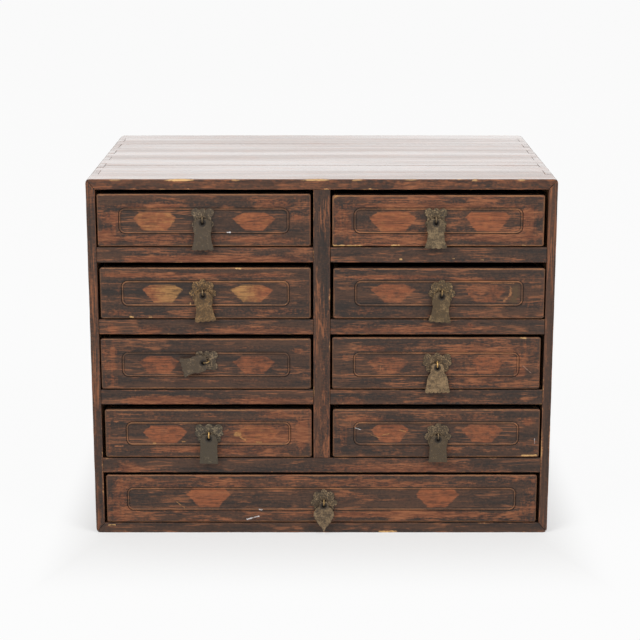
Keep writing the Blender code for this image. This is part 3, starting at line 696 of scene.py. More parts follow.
def hidden_mask(sheet, node, low, high):
    """Where a case board was never lacquered: behind the drawer fronts, on the faces that look inwards."""
    x, y, z = sheet.axes
    behind = y.step(low.y + 0.008, low.y + 0.016)
    middle = (low + high) / 2
    if node == "case_top":
        return behind * z.step(middle.z, middle.z - 0.002)
    if node == "case_bottom":
        return behind * z.step(middle.z, middle.z + 0.002)
    if node.startswith("side"):
        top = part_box("case_top")[0].z
        return behind * z.step(top + 0.0005, top - 0.0005) * abs(x).step(abs(middle.x), abs(middle.x) - 0.002)
    return behind


# Boards with a face in the polished top
POLISHED = ("case_top", "side_left", "side_right")


def case_lacquer(node, seed, paint):
    """Dark lacquer of a case board, worn along the grain and at the edges, bare inside."""
    tone = CASE_TONES[node]
    low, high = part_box(node)
    sheet = Finish(f"{node}_lacquer")
    waves = wood_waves(sheet, tone.grain, seed, paint.side_reach if node.startswith("side") else 1.0)
    x, y, z = sheet.axes
    foot = 1.0 - (z - low.z) / (high.z - low.z)
    level = waves.streaks * 0.7 + waves.fibres * 0.5 + waves.hairs * 0.2
    worn = waves.patches * 1.2 + level + waves.mottle * 1.1 - 1.81 + tone.wear
    worn = add_patches(worn, x + waves.ragged * 0.02, z, tone.patches)
    wear = (worn + foot.step(0.35, 0.8) * tone.foot).step(-0.06, 0.66)
    gap = arris_gap(sheet, low, high) + (waves.patches - 0.40) * 0.014 + waves.ragged * 0.006
    rubbed = gap.step(0.0016, 0.0002) * tone.edge
    chipped = gap.step(0.0001, -0.0004) * tone.edge
    colour = sheet.coats(worn_lacquer(sheet, waves, wear, 0.66, paint), (rubbed, paint.orange),
                         (chipped, paint.straw))
    colour = fine_grain(sheet, waves, colour, paint)
    # Painted shade: a dark line along each shelf's top edge, in the gap under the drawer fronts
    if node.startswith("shelf"):
        painted_shade = (high.z - z + waves.ragged * 0.001).step(0.0011, 0.0004)
        colour = sheet.blend(painted_shade * 0.5, colour, paint.soot)
    nose = y.step(low.y + 0.0060, low.y + 0.0035)
    colour = add_marks(sheet, colour, x, z, tone.marks, waves, nose, paint)
    if node == "case_top":
        loose_x, drop = x + waves.ragged * 0.012, z - high.z + waves.ragged * 0.002
        colour = sheet.coats(colour, *((oval(loose_x, drop, chip, 0.4) * nose * chip.wear, paint.straw)
                                       for chip in TOP_CHIPS))
    hidden = hidden_mask(sheet, node, low, high)
    colour = sheet.blend(hidden, colour, bare_colour(sheet, waves, paint))
    height = waves.fibres * 0.35 + waves.streaks * 0.65 - rubbed * 0.4
    rough = 0.45 + waves.streaks * 0.18 + hidden * 0.25
    if node not in POLISHED:
        return sheet.finish(height, paint.relief, {"Base Color": colour, "Roughness": rough,
                                                   "Specular IOR Level": paint.gloss})
    polish = z.step(high.z - 0.0009, high.z - 0.0004)
    haze = sheet.noise((1.8, 34.0, 1.8), shift_of(seed), 3.0)
    scuffs = waves.patches.step(0.52, 0.80)
    colour = sheet.blend(polish * (0.30 + haze * 0.3), colour, paint.dust)
    coat = polish * (1.0 - haze.step(0.38, 0.64) * 0.52 - scuffs * 0.15)
    return sheet.finish(height, paint.top_relief, {
        "Base Color": colour, "Roughness": rough - polish * 0.25, "Specular IOR Level": paint.gloss,
        "Coat Weight": coat, "Coat Roughness": 0.16})


def board_over(name):
    """The case board over a drawer."""
    column, _, row = name.partition("_")
    if column == "wide":
        return "shelf_wide"
    return "case_top" if row == "1" else f"shelf_{column}_{int(row) - 1}"


def frame_heights(name, sizes):
    """Foot and top of a front's moulded frame, which is level with the others in its row."""
    drop = sizes.wide_drop if name == "wide" else sizes.frame_drop
    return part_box(f"drawer_{name}_front")[0].z + sizes.frame_foot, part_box(board_over(name))[0].z - drop


def drawer_lacquer(name, seed, paint, sizes):
    """Lacquer of one drawer front: streaked margins, bead, dark panel and two painted cartouches."""
    face = FACES[name]
    low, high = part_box(f"drawer_{name}_front")
    half = (high - low) / 2
    frame_w = half.x - sizes.frame_end
    sheet = Finish(f"{name}_lacquer")
    waves = wood_waves(sheet, "X", seed)
    x, y, z = sheet.axes
    line = low.z + sizes.face_line
    u, v = x - (low.x + half.x), z - line

    # Wear: level grain between upright ends, and less of it on the panel
    foot, top = frame_heights(name, sizes)
    gap = frame_gap(u, z - (foot + top) / 2, frame_w, (top - foot) / 2, sizes.frame_radius)
    panel = gap.step(0.0004, -0.0010)
    upright = sheet.noise((230.0, 1.0, 24.0), shift_of(seed + 5), 4.0)
    ends = (abs(u) - (frame_w + 0.0025 + waves.ragged * 0.002)).step(-0.0005, 0.0008)
    level = 1.0 + (waves.streaks * 1.1 + waves.fibres * 0.7 + waves.hairs * 0.25 - 1.0) * face.grain
    across = upright * 1.4 + waves.fibres * 0.5
    worn = waves.patches * 1.5 + level + (across - level) * ends + waves.mottle * 1.2 - 2.30 + face.wear
    worn = add_patches(worn, u + waves.ragged * 0.012, v, face.patches)
    wear = (worn - panel * face.panel).step(-0.10, 0.62)
    colour = worn_lacquer(sheet, waves, wear, 0.64, paint)

    # Cartouches: red paint that has gone ochre, dull and patchy
    loose_u, loose_v = u + waves.ragged * 0.006, v + (waves.streaks - 0.5) * 0.004
    blots = sheet.noise((130.0, 130.0, 170.0), shift_of(seed + 3), 5.0)
    dull = (waves.streaks * 0.7 + waves.fibres * 0.5 + blots * 0.5).step(0.98, 0.62) * 0.42
    for shape in face.cartouches:
        field = cartouche_gap(loose_u, loose_v, shape).step(0.0013, -0.0013)
        cover = (blots * 1.2 + waves.mottle * 0.6 + waves.streaks * 0.6 + shape.left).step(1.30, 2.30)
        pale = (u - shape.middle) * (shape.pale_side / shape.half_tip)
        ochre = (blots * 1.0 + waves.streaks * 0.6 + shape.ochre + pale).step(1.10, 1.80)
        left = sheet.coats(paint.cinnabar, (ochre, paint.ochre), (dull, paint.brown))
        colour = sheet.blend(field * cover, colour, left)
    colour = fine_grain(sheet, waves, colour, paint)

    # Bead, painted shade in the quirks, worn edges with a painted highlight, grime and painted shade round
    # the plate
    tired = waves.patches.step(0.36, 0.62) * 0.75 + waves.mottle.step(0.40, 0.65) * 0.25
    upright_bead = abs(u).step(frame_w - 0.004, frame_w - 0.001)
    crest = abs(gap).step(0.0012, 0.0004) * (0.25 + tired * 0.75) * (1.0 - upright_bead * 0.5) * face.bead
    # Painted shade: the quirks are darkened, more on the outer side of the bead
    quirk = abs(abs(gap - 0.0001) - 0.0013).step(0.0006, 0.0001)
    # Rubbed edges: wear, and on the top edges also a painted highlight; the sides stay fainter
    arris = arris_gap(sheet, low, high) + (waves.patches - 0.5) * 0.005 + waves.ragged * 0.003
    side = abs(u).step(half.x - 0.004, half.x - 0.002) * (0.75 - 0.5 * face.edge)
    rubbed = arris.step(0.0018, 0.0003) * (1.0 - side) * (0.50 + 0.45 * face.edge)
    # Dirt and painted shade: the lacquer is darker round the plate and the top of its pull
    axis = SWINGS[name]["pos_m"]
    dirt_and_shade_halo = Patch(axis[0] - low.x - half.x, axis[2] - line, 0.0165, 0.0150, 1.0)
    colour = sheet.coats(colour, (crest, paint.tan),
                         (quirk * (0.48 + gap.step(-0.001, 0.001) * 0.30), paint.soot), (rubbed, paint.tan),
                         (oval(u, v, dirt_and_shade_halo, 0.5) * 0.45, paint.charcoal))
    colour = add_marks(sheet, colour, u, v, face.marks, waves, 0.85, paint)

    # Painted shade: behind the face, the front's edges in the gaps round the drawer go nearly black
    inside = y.step(low.y + 0.0012, low.y + 0.0030)
    hidden = y.step(high.y - 0.0014, high.y - 0.0004)
    colour = sheet.coats(colour, (inside * 0.92, paint.soot), (hidden, bare_colour(sheet, waves, paint)))
    rough = 0.42 + waves.streaks * 0.16 + wear * 0.08 + hidden * 0.25
    height = waves.fibres * 0.35 + waves.streaks * 0.65 - wear * 0.25
    return sheet.finish(height, paint.relief, {"Base Color": colour, "Roughness": rough,
                                               "Specular IOR Level": paint.gloss})


def bare_softwood(name, grain, seed, paint):
    """Unfinished softwood of the drawer boxes and the back, darkened by handling."""
    sheet = Finish(name)
    waves = wood_waves(sheet, grain, seed)
    grime = sheet.noise((9.0, 9.0, 9.0), shift_of(seed + 7), 5.0)
    colour = sheet.blend(grime.step(0.48, 0.75) * 0.55, bare_colour(sheet, waves, paint), paint.brown)
    return sheet.finish(waves.fibres * 0.5 + waves.streaks * 0.5, 0.0005,
                        {"Base Color": colour, "Roughness": 0.62 + waves.streaks * 0.25})


def old_brass(name, seed, brass, rubbed, tint, stipple=0.0, bright=0.0, eye=None):
    """Tarnished brass: rubbed lighter in places, stippled, pitted, dirty and darkened by painted shade round
    an eye, or left bright.
    """
    sheet = Finish(name)
    shift = shift_of(seed)
    clouds = sheet.noise((150.0, 150.0, 150.0), shift, 5.0)
    specks = sheet.noise((620.0, 620.0, 620.0), shift, 3.0)
    start = 0.80 - rubbed * 0.35 + stipple * 0.5
    worn = (clouds * 0.9 + specks * (0.5 + stipple)).step(start, start + 0.35)
    patina, light = ([part * share for part, share in zip(colour, tint)]
                     for colour in (brass.patina, brass.rubbed))
    pits = specks.step(0.47, 0.34)
    colour = sheet.coats(patina, (worn * 0.85, light), (pits * (0.45 + 0.4 * stipple), brass.pit_and_shade),
                         (clouds.step(0.30, 0.55) * bright, brass.bright))
    # Dirt and painted shade round a pull's eye
    if eye:
        painted_shade = oval(sheet.axes[0], sheet.axes[2], eye, 0.45) * eye.wear
        colour = sheet.blend(painted_shade, colour, brass.pit_and_shade)
    return sheet.finish(clouds * 0.6 + specks * 0.4, 0.0012, {
        "Base Color": colour, "Roughness": 0.50 - worn * 0.12 + specks * 0.1, "Metallic": 0.6 - pits * 0.4})


def rumple(point, scale, seed):
    """Smooth noise between -1 and 1 at a point of the chest."""
    return noise.noise(Vector(point) * scale + Vector(shift_of(seed)))


def hand_in(name, work, material, body, node):
    """Put a finished piece in the scene, riding on its body in place of its solid."""
    bmesh.ops.dissolve_degenerate(work, dist=MERGE / 10, edges=work.edges)
    bmesh.ops.recalc_face_normals(work, faces=work.faces)
    mesh = bpy.data.meshes.new(name)
    work.to_mesh(mesh)
    work.free()
    mesh.materials.append(material)
    mesh.shade_smooth()
    mesh.set_sharp_from_angle(angle=SMOOTH_ANGLE)
    piece = bpy.data.objects.new(name, mesh)
    bpy.context.scene.collection.objects.link(piece)
    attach(piece, body)
    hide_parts(node)
    even = piece.modifiers.new("even_shading", "WEIGHTED_NORMAL")
    even.keep_sharp = True


def slice_at(work, axis, places):
    """Cut a mesh across one of its axes, without parting it."""
    normal = Vector(1.0 if index == axis else 0.0 for index in range(3))
    for place in places:
        bmesh.ops.bisect_plane(work, geom=[*work.verts, *work.edges, *work.faces], dist=MERGE,
                               plane_co=normal * place, plane_no=normal)


def spaced(low, high, spacing):
    """Even places from low to high, no further apart than the spacing."""
    count = max(1, math.ceil((high - low) / spacing))
    return [low + (high - low) * step / count for step in range(count + 1)]


def sharp_edges(work):
    return [edge for edge in work.edges if edge.calc_face_angle(0.0) > ARRIS_ANGLE]


def knock_arrises(work, depth, seed):
    """Dent the edges inwards, unevenly along their length."""
    work.normal_update()
    corners = {vert for edge in sharp_edges(work) for vert in edge.verts}
    for vert in corners:
        dent = max(0.0, 0.25 + rumple(vert.co, 34.0, seed) + 0.6 * rumple(vert.co, 150.0, seed))
        vert.co -= vert.normal * depth * min(dent, 1.4) * 0.5


def ease_arrises(work, width):
    bmesh.ops.bevel(work, geom=sharp_edges(work), offset=width, offset_type="OFFSET", segments=2, profile=0.5,
                    affect="EDGES", material=-1, clamp_overlap=True)


def plank(work, low, high):
    """A squared board between two corners."""
    made = bmesh.ops.create_cube(work, size=1.0)["verts"]
    bmesh.ops.scale(work, vec=[b - a for a, b in zip(low, high)], verts=made)
    bmesh.ops.translate(work, vec=[(a + b) / 2 for a, b in zip(low, high)], verts=made)


def case_board(node, seed, sizes):
    """A case board with its own joints, dented along its edges."""
    low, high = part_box(node)
    work = bmesh.new()
    work.from_mesh(frame["nodes"][node].data)
    bmesh.ops.remove_doubles(work, verts=work.verts, dist=MERGE)
    bmesh.ops.dissolve_limit(work, angle_limit=FLAT, verts=work.verts, edges=work.edges)
    grain = "XYZ".index(CASE_TONES[node].grain)
    for axis in range(3):
        if axis != grain:
            slice_at(work, axis, (low[axis] + sizes.support, high[axis] - sizes.support))
    start, end = low[grain] + sizes.end_margin, high[grain] - sizes.end_margin
    slice_at(work, grain, spaced(start, end, sizes.spacing))
    knock_arrises(work, sizes.knock, seed)
    return work


def chip_front(work, low, high, sizes):
    """Knock the chips out of the top's front edge."""
    for vert in work.verts:
        if vert.co.y < low.y + 2 * sizes.knock and vert.co.z > high.z - 2 * sizes.knock:
            depths = [(1 - abs(vert.co.x - chip.across) / (1.4 * chip.half_w)) * chip.wear
                      for chip in TOP_CHIPS]
            depth = sizes.chip * max(0.0, *depths)
            vert.co.z -= depth
            vert.co.y += depth * 0.6


def open_seams(work, low, high, sizes):
    """The seams between the boards of the top, where the glue has let go."""
    half = sizes.seam_width / 2
    for depth in (sizes.front_seam, sizes.rear_seam):
        seam = low.y + depth
        slice_at(work, 1, (seam - sizes.support, seam - half, seam, seam + half, seam + sizes.support))
        for vert in work.verts:
            if abs(vert.co.y - seam) < MERGE and vert.co.z > high.z - sizes.seam_depth:
                vert.co.z -= sizes.seam_depth


# First seeds of the noises, a run of its own for each kind of piece
CASE_SEED = 1
BACK_SEED = 40
FRONT_SEED = 50
BOX_SEED = 70
PLATE_SEED = 80
PIN_SEED = 90
PULL_SEED = 100


class CHEST_OT_case_boards(bpy.types.Operator):
    """Make the lacquered boards of the case and the bare boards of its back"""
    bl_idname = "chest.case_boards"
    bl_label = "Case boards"

    def execute(self, context):
        sizes, paint = context.scene.chest_case, context.scene.chest_lacquer
        for seed, node in enumerate(CASE_TONES, CASE_SEED):
            work = case_board(node, seed, sizes)
            if node == "case_top":
                chip_front(work, *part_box(node), sizes)
            ease_arrises(work, sizes.arris)
            if node == "case_top":
                open_seams(work, *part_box(node), sizes)
            hand_in(f"{node}_board", work, case_lacquer(node, seed, paint), "case", node)
        self.add_back(sizes, paint)
        return {"FINISHED"}

    def add_back(self, sizes, paint):
        low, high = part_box("back_panel")
        work = bmesh.new()
        height, gap = (high.z - low.z) / sizes.back_boards, sizes.arris
        for count in range(sizes.back_boards):
            foot = low.z + height * count
            plank(work, (low.x, low.y, foot + gap / 2), (high.x, high.y, foot + height - gap / 2))
        slice_at(work, 0, spaced(low.x + sizes.spacing, high.x - sizes.spacing, 2 * sizes.spacing))
        knock_arrises(work, sizes.knock, BACK_SEED)
        ease_arrises(work, 2 * sizes.arris)
        hand_in("back_panel_boards", work, bare_softwood("back_softwood", "X", BACK_SEED, paint), "case",
                "back_panel")


class Loft:
    """A skin that grows ring by ring, each ring extruded from the last."""

    def __init__(self, rings, capped):
        self.work = bmesh.new()
        bmesh.ops.create_circle(self.work, cap_ends=capped, segments=len(rings[0]), radius=1.0)
        self.work.verts.ensure_lookup_table()
        self.last = list(self.work.verts)
        self.place(rings[0])
        for points in rings[1:]:
            self.grow(points)

    def place(self, points):
        for vert, point in zip(self.last, points):
            vert.co = point

    def rim(self):
        around = zip(self.last, [*self.last[1:], self.last[0]])
        return [self.work.edges.get(pair) for pair in around]

    def grow(self, points):
        grown = bmesh.ops.extrude_edge_only(self.work, edges=self.rim())["geom"]
        new = {item for item in grown if isinstance(item, bmesh.types.BMVert)}
        self.last = [next(edge.other_vert(vert) for edge in vert.link_edges if edge.other_vert(vert) in new)
                     for vert in self.last]
        self.place(points)

    def cap(self):
        bmesh.ops.holes_fill(self.work, edges=self.rim(), sides=0)
        return self.work

    def weld(self):
        bmesh.ops.remove_doubles(self.work, verts=self.work.verts, dist=MERGE)
        return self.work


CORNER_STEPS = 7

# Section of the bead from the panel outwards: distance from the frame's line, depth as a share of the quirk's
MOULDING = ((-0.0032, 0.0), (-0.0018, 0.0), (-0.0014, 0.6), (-0.0010, 0.1), (-0.0004, -0.25), (0.0004, -0.25),
            (0.0008, 0.2), (0.0011, 1.0), (0.0014, 1.0), (0.0018, 0.0), (0.0030, 0.0))


def round_ring(half_w, foot, top, radius, depth):
    """Points of a rounded rectangle, seen from the front, at a depth behind the face."""
    points = []
    for quarter in range(4):
        for step in range(CORNER_STEPS):
            turn = math.pi / 2 * (quarter + step / (CORNER_STEPS - 1))
            right = quarter in (0, 3)
            upper = quarter in (0, 1)
            x = (half_w - radius) * (1 if right else -1) + radius * math.cos(turn)
            z = (top - radius if upper else foot + radius) + radius * math.sin(turn)
            points.append((x, depth, z))
    return points


def front_rings(half, foot, top, thick, sizes):
    """Rings of a drawer front: panel, bead between two quirks, margin, rounded edge, laps and back."""
    frame_w = half.x - sizes.frame_end
    rings = [(frame_w + out, foot - out, top + out, sizes.frame_radius + out, share * sizes.quirk)
             for out, share in MOULDING]
    full = sizes.corner + sizes.edge
    for turn in (0, 30, 60, 90):
        out = sizes.edge * (1 - math.sin(math.radians(turn)))
        depth = sizes.edge * (1 - math.cos(math.radians(turn)))
        rings.append((half.x - out, -half.z + out, half.z - out, full - out, depth))
    rings.append((half.x, -half.z, half.z, full, thick - sizes.lap))
    for depth in (thick - sizes.lap, thick):
        rings.append((half.x - sizes.lap, -half.z, half.z, sizes.corner, depth))
    return rings


def drawer_front(name, seed, sizes):
    """One moulded drawer front, with a bead and edges that waver as hand work does."""
    low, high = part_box(f"drawer_{name}_front")
    half, middle = (high - low) / 2, (low + high) / 2
    foot, top = (height - middle.z for height in frame_heights(name, sizes))
    rings = front_rings(half, foot, top, high.y - low.y, sizes)
    work = Loft([round_ring(*ring) for ring in rings], capped=True).cap()
    reach = half.x - sizes.frame_end - sizes.frame_radius
    slice_at(work, 0, spaced(-reach, reach, sizes.spacing))
    bmesh.ops.remove_doubles(work, verts=work.verts, dist=MERGE)
    bmesh.ops.translate(work, vec=(middle.x, low.y, middle.z), verts=work.verts)
    for vert in work.verts:
        sway = sizes.wobble * rumple((vert.co.x, 0, vert.co.z), 45.0, seed)
        vert.co.z -= math.copysign(abs(sway), vert.co.z - middle.z) if vert.co.y > low.y + MERGE else sway
        vert.co.y += 0.5 * abs(sway)
    return work


class CHEST_OT_drawer_fronts(bpy.types.Operator):
    """Make the moulded and painted fronts of the drawers"""
    bl_idname = "chest.drawer_fronts"
    bl_label = "Drawer fronts"

    def execute(self, context):
        sizes, paint = context.scene.chest_drawer, context.scene.chest_lacquer
        for seed, name in enumerate(DRAWERS, FRONT_SEED):
            work = drawer_front(name, seed, sizes)
            hand_in(f"{name}_face", work, drawer_lacquer(name, seed, paint, sizes), f"drawer_{name}",
                    f"drawer_{name}_front")
        return {"FINISHED"}


# Share of a box's depth where its floor is joined, shares of its height where its pegs are, form of the pegs
FLOOR_SEAM = 0.45
PEG_HEIGHTS = (0.25, 0.75)
PEG_SIDES = 10
PEG_EASE = 0.00015


class CHEST_OT_drawer_boxes(bpy.types.Operator):
    """Make the bare boxes behind the fronts: sides, rear, floor and pegs"""
    bl_idname = "chest.drawer_boxes"
    bl_label = "Drawer boxes"

    def execute(self, context):
        self.sizes = context.scene.chest_drawer
        self.arris = context.scene.chest_case.arris
        paint = context.scene.chest_lacquer
        long_wood = bare_softwood("box_side_softwood", "Y", BOX_SEED, paint)
        cross_wood = bare_softwood("box_cross_softwood", "X", BOX_SEED + 1, paint)
        peg_wood = bare_softwood("peg_bamboo", "X", BOX_SEED + 2, paint)
        for seed, name in enumerate(DRAWERS, BOX_SEED):
            low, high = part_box(f"drawer_{name}_box")
            pieces = (("walls", self.walls(low, high, seed), long_wood),
                      ("rear", self.rear(low, high, seed), cross_wood),
                      ("floor", self.floor(low, high, seed), cross_wood),
                      ("pegs", self.pegs(low, high), peg_wood))
            for part, work, wood in pieces:
                hand_in(f"{name}_{part}", work, wood, f"drawer_{name}", f"drawer_{name}_box")
        return {"FINISHED"}

    def soften(self, work, axis, low, high, seed):
        """Cut a box board along its length, then dent and ease its edges."""
        slice_at(work, axis, spaced(low, high, self.sizes.box_spacing))
        knock_arrises(work, 2 * self.arris, seed)
        ease_arrises(work, self.arris)
        return work

    def walls(self, low, high, seed):
        work = bmesh.new()
        for near, far in ((low.x, low.x + self.sizes.wall), (high.x - self.sizes.wall, high.x)):
            plank(work, (near, low.y, low.z), (far, high.y, high.z))
        return self.soften(work, 1, low.y + self.sizes.box_spacing, high.y - self.sizes.box_spacing, seed)

    def rear(self, low, high, seed):
        work = bmesh.new()
        wall = self.sizes.wall
        top = high.z - self.sizes.rear_drop
        plank(work, (low.x + wall, high.y - wall, low.z), (high.x - wall, high.y, top))
        return self.soften(work, 0, low.x + self.sizes.box_margin, high.x - self.sizes.box_margin, seed)

    def floor(self, low, high, seed):
        work = bmesh.new()
        wall = self.sizes.wall
        start = low.y + self.sizes.lap
        seam = start + (high.y - start) * FLOOR_SEAM
        for near, far in ((start, seam - self.arris / 2), (seam + self.arris / 2, high.y - wall)):
            plank(work, (low.x + wall, near, low.z), (high.x - wall, far, low.z + self.sizes.floor))
        return self.soften(work, 0, low.x + self.sizes.box_margin, high.x - self.sizes.box_margin, seed)

    def pegs(self, low, high):
        """Round pegs through the sides into the front and the rear, just proud of the wood."""
        work = bmesh.new()
        inset = self.sizes.wall / 2
        turned = Matrix.Rotation(math.pi / 2, 4, "Y")
        for x in (low.x, high.x):
            for y in (low.y + inset, high.y - inset):
                for share in PEG_HEIGHTS:
                    place = Matrix.Translation((x, y, low.z + (high.z - low.z) * share))
                    bmesh.ops.create_cone(work, cap_ends=True, segments=PEG_SIDES, radius1=self.sizes.peg,
                                          radius2=self.sizes.peg, depth=self.sizes.peg_proud,
                                          matrix=place @ turned)
        ease_arrises(work, PEG_EASE)
        return work


# How finely the brass is drawn
PLATE_TURNS = 360
PLATE_POINTS = 110
EYE_STEPS = 28
BEND_STEPS = 4
WIRE_SIDES = 12
PULL_STEPS = 60
SCALLOP_STEPS = 10
PULL_POINTS = 150

# Rings of a brass sheet, as shares of the way from its hole to its rim
SHEET_RINGS = (0.0, 0.1, 0.25, 0.4, 0.55, 0.7, 0.82, 0.92)


def even_points(points, count):
    """A closed outline as evenly spaced points, from its first point round."""
    ring = [Vector(point) for point in points]
    ring.append(ring[0])
    runs = [(b - a).length for a, b in zip(ring, ring[1:])]
    pitch = sum(runs) / count
    even, walked, leg = [], 0.0, 0
    for step in range(count):
        while walked + runs[leg] < step * pitch:
            walked += runs[leg]
            leg += 1
        share = (step * pitch - walked) / runs[leg]
        even.append(ring[leg].lerp(ring[leg + 1], share))
    return even


def smooth(share):
    """Smooth step from 0 to 1."""
    share = min(1.0, max(0.0, share))
    return share * share * (3 - 2 * share)


def sheet_metal(outline, hole, thick, relief):
    """Sheet with a hole: front face from the hole out, round the rim, and back behind."""
    rim = 0.3 * thick

    def ring(share, inset, depth):
        points = []
        for inner, outer in zip(hole, outline):
            spoke = outer - inner
            across, up = inner + spoke * (share - inset / max(spoke.length, MERGE))
            points.append((across, depth + relief(across, up), up))
        return points

    front = [ring(share, 0.0, -thick / 2) for share in SHEET_RINGS]
    edge = [ring(1.0, rim, -thick / 2), ring(1.0, 0.0, rim - thick / 2), ring(1.0, 0.0, thick / 2 - rim),
            ring(1.0, rim, thick / 2)]
    back = [ring(share, 0.0, thick / 2) for share in reversed(SHEET_RINGS)]
    return Loft([*front, *edge, *back, front[0]], capped=False).weld()


def ellipse_towards(middle, half_w, half_h, point):
    """The point of an ellipse that lies towards another point."""
    way = point - middle
    return middle + way / math.hypot(way.x / half_w, way.y / half_h)


def hanging(name):
    """How a drawer's pull leans at rest."""
    axis = SWINGS[name]["axis"]
    return Matrix.Rotation(math.atan2(axis[2], -axis[0]), 3, "Y")


def hang(work, name):
    """Turn a fitting with its pull's lean and set it on the pull's axis."""
    place = Matrix.Translation(SWINGS[name]["pos_m"]) @ hanging(name).to_4x4()
    bmesh.ops.transform(work, matrix=place, verts=work.verts)
    return work


def eye_dirt_and_shade(name, brass):
    """Dirt and painted shade round a pull's eye, on the pull and on the plate behind it."""
    pos = SWINGS[name]["pos_m"]
    down = hanging(name) @ Vector((0.0, 0.0, -brass.eye_drop - brass.eye_height / 2))
    return Patch(pos[0] + down.x, pos[2] + down.z, brass.painted_shade, brass.painted_shade, brass.eye_dirt_and_shade)


def plate_reach(discs, turn):
    """How far overlapping discs reach from the pin, in one direction."""
    reach = 0.0
    for x, z, radius in discs:
        forward = x * math.cos(turn) + z * math.sin(turn)
        inside = radius ** 2 - x ** 2 - z ** 2 + forward ** 2
        if inside >= 0:
            reach = max(reach, forward + math.sqrt(inside))
    return reach


class CHEST_OT_plates(bpy.types.Operator):
    """Make the brass plates behind the pulls"""
    bl_idname = "chest.plates"
    bl_label = "Back plates"

    def execute(self, context):
        brass = context.scene.chest_brass
        for seed, name in enumerate(DRAWERS, PLATE_SEED):
            finish = old_brass(f"{name}_plate_brass", seed, brass, brass.plate_rubbed, FITTINGS[name].tint,
                               brass.plate_stipple, eye=eye_dirt_and_shade(name, brass))
            hand_in(f"{name}_backplate", self.plate(name, seed, brass), finish, f"drawer_{name}",
                    f"drawer_{name}_plate")
        return {"FINISHED"}

    def plate(self, name, seed, brass):
        """A lobed plate with a worn rim, dished and beaten."""
        discs = [(side * x, z, radius) for side in (1, -1)
                 for x, z, radius in PLATE_DISCS[FITTINGS[name].plate]]
        drawn = []
        for step in range(PLATE_TURNS):
            turn = 2 * math.pi * step / PLATE_TURNS
            way = Vector((math.cos(turn), math.sin(turn)))
            waver = 1 + brass.plate_rim * rumple((*way, 0), 4.5, seed)
            drawn.append(way * plate_reach(discs, turn) * waver)
        outline = even_points(drawn, PLATE_POINTS)
        hole = [ellipse_towards(Vector((0, 0)), brass.hole, brass.hole, point) for point in outline]

        def relief(x, z):
            dish = brass.dish * math.cos(math.hypot(x, z) * 420.0)
            return dish + brass.beat * rumple((x, 0, z), 260.0, seed)

        work = sheet_metal(outline, hole, brass.sheet, relief)
        low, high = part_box(f"drawer_{name}_plate")
        pos = SWINGS[name]["pos_m"]
        bmesh.ops.translate(work, vec=(pos[0], (low.y + high.y) / 2, pos[2]), verts=work.verts)
        return work


class CHEST_OT_pins(bpy.types.Operator):
    """Make the split pins that hold the plates and carry the pulls"""
    bl_idname = "chest.pins"
    bl_label = "Split pins"

    def execute(self, context):
        brass = context.scene.chest_brass
        for seed, name in enumerate(DRAWERS, PIN_SEED):
            finish = old_brass(f"{name}_pin_brass", seed, brass, brass.pin_rubbed, (1.0, 1.0, 1.0),
                               bright=FITTINGS[name].pin)
            hand_in(f"{name}_split_pin", hang(self.pin(name, brass), name), finish, f"drawer_{name}",
                    f"drawer_{name}_staple")
        return {"FINISHED"}

    def pin(self, name, brass):
        """Wire bent to a round eye, with two legs through the front and their ends turned over."""
        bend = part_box(f"drawer_{name}_front")[1].y - SWINGS[name]["pos_m"][1] + brass.wire
        leg = brass.legs / 2
        start = math.asin(leg / brass.eye)
        turns = [start + (2 * math.pi - 2 * start) * step / EYE_STEPS for step in range(EYE_STEPS + 1)]
        eye = [(brass.eye * math.cos(turn), brass.eye * math.sin(turn)) for turn in turns]
        round_r = 2 * brass.wire
        upper = [(bend, leg + round_r + brass.clench)]
        for step in range(BEND_STEPS + 1):
            turn = math.pi / 2 * step / BEND_STEPS
            upper.append((bend - round_r + round_r * math.cos(turn),
                          leg + round_r - round_r * math.sin(turn)))
        route = [*upper, *eye, *[(y, -z) for y, z in reversed(upper)]]
        return self.wire([Vector(point) for point in route], brass.wire)

    def wire(self, route, radius):
        turns = [2 * math.pi * step / WIRE_SIDES for step in range(WIRE_SIDES)]
        rings = []
        for index, point in enumerate(route):
            before, after = route[max(0, index - 1)], route[min(len(route) - 1, index + 1)]
            way = (after - before).normalized()
            across = Vector((-way.y, way.x))
            rings.append([(radius * math.cos(turn), *(point + across * radius * math.sin(turn)))
                          for turn in turns])
        return Loft(rings, capped=True).cap()


